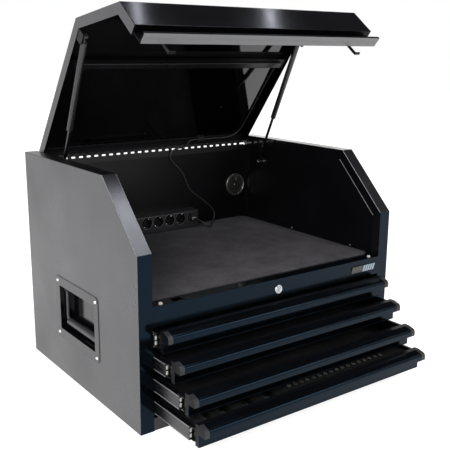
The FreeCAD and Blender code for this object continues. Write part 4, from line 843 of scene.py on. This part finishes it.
bm = bmesh.new()
for x in OUTLET_X:
    for turn in (CLIP_TURN + math.pi, CLIP_TURN):
        clip = block(
            bm, (-CLIP_HALF_WIDTH, 0, TAB_INNER), (CLIP_HALF_WIDTH, TAB_DEPTH, CLIP_OUTER)
        )
        clip += block(
            bm, (-CLIP_HALF_WIDTH, 0, LIP_INNER), (CLIP_HALF_WIDTH, LIP_DEPTH, CLIP_OUTER)
        )
        place_at(bm, clip, (0, CLIP_SINK, 0), Matrix.Rotation(turn, 3, "Y"))
        place_at(bm, clip, (x, STRIP_FACE, OUTLET_Z))
soften(bm, 0.3, 1)
earth_clips = piece("outlet_earth_clips", bm, "nickel", "case")

# The frame round the switch is pale: a painted highlight on the switch's edges.
# The frame's upright bars stand FRAME_X from the middle of the switch, and its level bars
# FRAME_Z above and below it.
SWITCH_X = 102
SWITCH_LEFT, SWITCH_RIGHT = 95.3, 108.7
SWITCH_BOTTOM, SWITCH_TOP = 309.8, 336.2
FRAME_X, FRAME_Z = 7.0, 13.7
UPRIGHT_BAR, LEVEL_BAR = 0.7, 0.5
FRAME_FRONT = STRIP_FACE - 1.0

bm = bmesh.new()
for side in LEFT_AND_RIGHT:
    x = SWITCH_X + side * FRAME_X
    block(
        bm, (x - UPRIGHT_BAR, FRAME_FRONT, SWITCH_BOTTOM), (x + UPRIGHT_BAR, STRIP_FACE, SWITCH_TOP)
    )
    z = OUTLET_Z + side * FRAME_Z
    block(
        bm, (SWITCH_LEFT, FRAME_FRONT, z - LEVEL_BAR), (SWITCH_RIGHT, STRIP_FACE, z + LEVEL_BAR)
    )
soften(bm, 0.3, 1)
switch_glint_frame = piece("switch_glint_frame", bm, "rim", "case")

# A white block round the plug where it leaves the strip: a painted glint for the bright metal of
# the plug.
GLINT_MARGIN = 0.4
GLINT_FRONT = 238.4

low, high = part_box("usb_plug")
bm = bmesh.new()
block(
    bm, (low.x / MM - GLINT_MARGIN, GLINT_FRONT, low.z / MM - GLINT_MARGIN),
    (high.x / MM + GLINT_MARGIN, STRIP_FACE, high.z / MM + GLINT_MARGIN),
)
soften(bm, 0.5)
plug_glint_block = piece("plug_glint_block", bm, "clip", "case")


# ---- bezel of the lock and rims of the grommet ----

LOCK_CENTRE = (0, -294.2, 261.5)
BEZEL_RADIUS, BEZEL_THICKNESS = 9.2, 1.6
GROMMET_X, GROMMET_Z = 305, 397

bm = bmesh.new()
bezel_ring = ring(bm, BEZEL_RADIUS, BEZEL_THICKNESS, segments=10, steps=48)
place_at(bm, bezel_ring, LOCK_CENTRE, UPRIGHT)
bezel = piece("lock_bezel", bm, "chrome", "case")
shade_smooth(bezel.data)

for name, y, radius, thickness, body in (
    ("grommet_rim", 284.2, 33.4, 1.5, "case"),
    ("grommet_inner_rim", 285.4, 22.0, 0.7, "grommet_cap"),
):
    bm = bmesh.new()
    rim = ring(bm, radius, thickness, segments=8, steps=64)
    place_at(bm, rim, (GROMMET_X, y, GROMMET_Z), UPRIGHT)
    grommet_rim = piece(name, bm, "vent", body)
    shade_smooth(grommet_rim.data)


# ---- slanted bars on the name plate ----

BAR_FRONT, BAR_BACK = -293.6, -293.1
BAR_BOTTOM, BAR_MIDDLE, BAR_TOP = 255, 263, 271
BAR_SLANT = 0.35

for name, paint, first, count, pitch, width in (
    ("sand_bars", "tan", 249.5, 7, 5.6, 3.0),
    ("pale_bars", "pale_blue", 289.5, 5, 8.6, 6.2),
):
    bm = bmesh.new()
    for index in range(count):
        left = first + index * pitch
        bar = block(bm, (left, BAR_FRONT, BAR_BOTTOM), (left + width, BAR_BACK, BAR_TOP))
        for vertex in bar:
            vertex.co.x += (vertex.co.z - BAR_MIDDLE * MM) * BAR_SLANT
    soften(bm, 0.12, 1)
    bars = piece(name, bm, paint, "case")


# ---- floor, lights and camera, in metres ----

# A softbox: its name, its place, what it faces, its size, its brightness and its colour.
COOL = (0.86, 0.88, 1.0)
SOFTBOXES = (
    ("key_box", (-2.1, -1.2, 1.7), (0, 0, 0.35), (1.4, 1.2), 9.0, WHITE),
    ("front_fill", (1.5, -2.7, 1.5), (0, 0, 0.4), (1.4, 0.9), 4.0, WHITE),
    ("rear_right_box", (1.5, 1.6, 1.0), (0.36, -0.1, 0.5), (1.2, 0.8), 1.0, WHITE),
    ("slope_box", (0.43, -0.56, 2.02), (-0.36, -0.22, 0.48), (0.50, 0.50), 10.5, COOL),
    ("left_streak", (0.36, 0.16, 2.02), (0.36, 0.16, 0), (0.030, 0.50), 7.4, COOL),
    ("right_streak", (1.02, 0.16, 2.02), (1.02, 0.16, 0), (0.030, 0.50), 10.0, COOL),
    ("front_strip", (1.2, -1.7, 1.45), (0, -0.4, 0.2), (2.2, 0.06), 10.0, WHITE),
)
CAMERA_PLACE = (-1.0853, -1.5532, 0.8158)
CAMERA_YAW, CAMERA_PITCH, CAMERA_ROLL = [math.radians(turn) for turn in (36.32, 13.495, 0.418)]
CAMERA_LENS = 58.48
SENSOR_WIDTH = 36


def seen_by_eye(tree):
    """One for what the camera, mirrors and glass see, and zero for soft light."""
    light_path = tree.nodes.new("ShaderNodeLightPath")
    total = light_path.outputs["Is Camera Ray"]
    for other in ("Is Glossy Ray", "Is Transmission Ray"):
        larger = tree.nodes.new("ShaderNodeMath")
        larger.operation = "MAXIMUM"
        tree.links.new(total, larger.inputs[0])
        tree.links.new(light_path.outputs[other], larger.inputs[1])
        total = larger.outputs[0]
    return total


def times(tree, first, second):
    node = tree.nodes.new("ShaderNodeMath")
    node.operation = "MULTIPLY"
    tree.links.new(first, node.inputs[0])
    tree.links.new(second, node.inputs[1])
    return node.outputs[0]


def backdrop():
    """White floor that takes a faint shadow near the chest and is plain white further out."""
    bm = bmesh.new()
    bmesh.ops.create_circle(bm, cap_ends=True, segments=96, radius=14.0)
    mesh = bpy.data.meshes.new("floor")
    bm.to_mesh(mesh)
    bm.free()
    floor = bpy.data.objects.new("floor", mesh)
    bpy.context.scene.collection.objects.link(floor)
    material, tree, shader = finish("floor_white", (0.6, 0.6, 0.6), 0.9, specular=0.05)
    distance = tree.nodes.new("ShaderNodeVectorMath")
    distance.operation = "LENGTH"
    tree.links.new(object_coordinates(tree), distance.inputs[0])
    strength = between(tree, distance.outputs["Value"], 0.88, 1.0, start=0.5, end=1.3)
    glow = tree.nodes.new("ShaderNodeEmission")
    glow.inputs["Color"].default_value = (1, 1, 1, 1)
    tree.links.new(times(tree, strength, seen_by_eye(tree)), glow.inputs["Strength"])
    add = tree.nodes.new("ShaderNodeAddShader")
    tree.links.new(shader.outputs[0], add.inputs[0])
    tree.links.new(glow.outputs[0], add.inputs[1])
    tree.links.new(add.outputs[0], tree.nodes["Material Output"].inputs["Surface"])
    mesh.materials.append(material)


def sky():
    """Studio surround: a white sweep round the chest that darkens towards the ceiling."""
    world = bpy.data.worlds.new("studio")
    bpy.context.scene.world = world
    world.use_nodes = True
    tree = world.node_tree
    soft = tree.nodes["Background"]
    soft.inputs["Color"].default_value = (1, 1, 1, 1)
    soft.inputs["Strength"].default_value = 0.35
    sweep = tree.nodes.new("ShaderNodeBackground")
    sweep.inputs["Color"].default_value = (1, 1, 1, 1)
    source = tree.nodes.new("ShaderNodeTexCoord")
    split = tree.nodes.new("ShaderNodeSeparateXYZ")
    tree.links.new(source.outputs["Generated"], split.inputs[0])
    fading = between(tree, split.outputs["Z"], 1.0, 0.03, start=0.25, end=0.55)
    tree.links.new(fading, sweep.inputs["Strength"])
    mix = tree.nodes.new("ShaderNodeMixShader")
    tree.links.new(seen_by_eye(tree), mix.inputs[0])
    tree.links.new(soft.outputs[0], mix.inputs[1])
    tree.links.new(sweep.outputs[0], mix.inputs[2])
    tree.links.new(mix.outputs[0], tree.nodes["World Output"].inputs["Surface"])


def lamp(name, place, target, size, radiance, colour):
    """A softbox of a given brightness that faces a target."""
    data = bpy.data.lights.new(name, "AREA")
    data.color = colour
    data.shape = "RECTANGLE"
    data.size, data.size_y = size
    data.energy = radiance * math.pi * size[0] * size[1]
    made = bpy.data.objects.new(name, data)
    made.location = place
    facing = Vector(target) - Vector(place)
    made.rotation_euler = facing.to_track_quat("-Z", "Y").to_euler()
    bpy.context.scene.collection.objects.link(made)


def camera():
    """The camera, turned to its yaw and pitch and then rolled about its own line of sight."""
    data = bpy.data.cameras.new("camera")
    data.lens = CAMERA_LENS
    data.sensor_width = SENSOR_WIDTH
    data.clip_end = 50
    level = math.cos(CAMERA_PITCH)
    ahead = Vector((
        math.sin(CAMERA_YAW) * level, math.cos(CAMERA_YAW) * level, -math.sin(CAMERA_PITCH)
    ))
    right = Vector((math.cos(CAMERA_YAW), -math.sin(CAMERA_YAW), 0))
    up = right.cross(ahead)
    rolled_right = right * math.cos(CAMERA_ROLL) + up * math.sin(CAMERA_ROLL)
    rolled_up = up * math.cos(CAMERA_ROLL) - right * math.sin(CAMERA_ROLL)
    turn = Matrix((rolled_right, rolled_up, -ahead)).transposed()
    made = bpy.data.objects.new("camera", data)
    made.matrix_world = Matrix.Translation(CAMERA_PLACE) @ turn.to_4x4()
    bpy.context.scene.collection.objects.link(made)
    bpy.context.scene.camera = made


backdrop()
sky()
for row in SOFTBOXES:
    lamp(*row)
camera()

scene = bpy.context.scene
scene.view_settings.view_transform = "Standard"
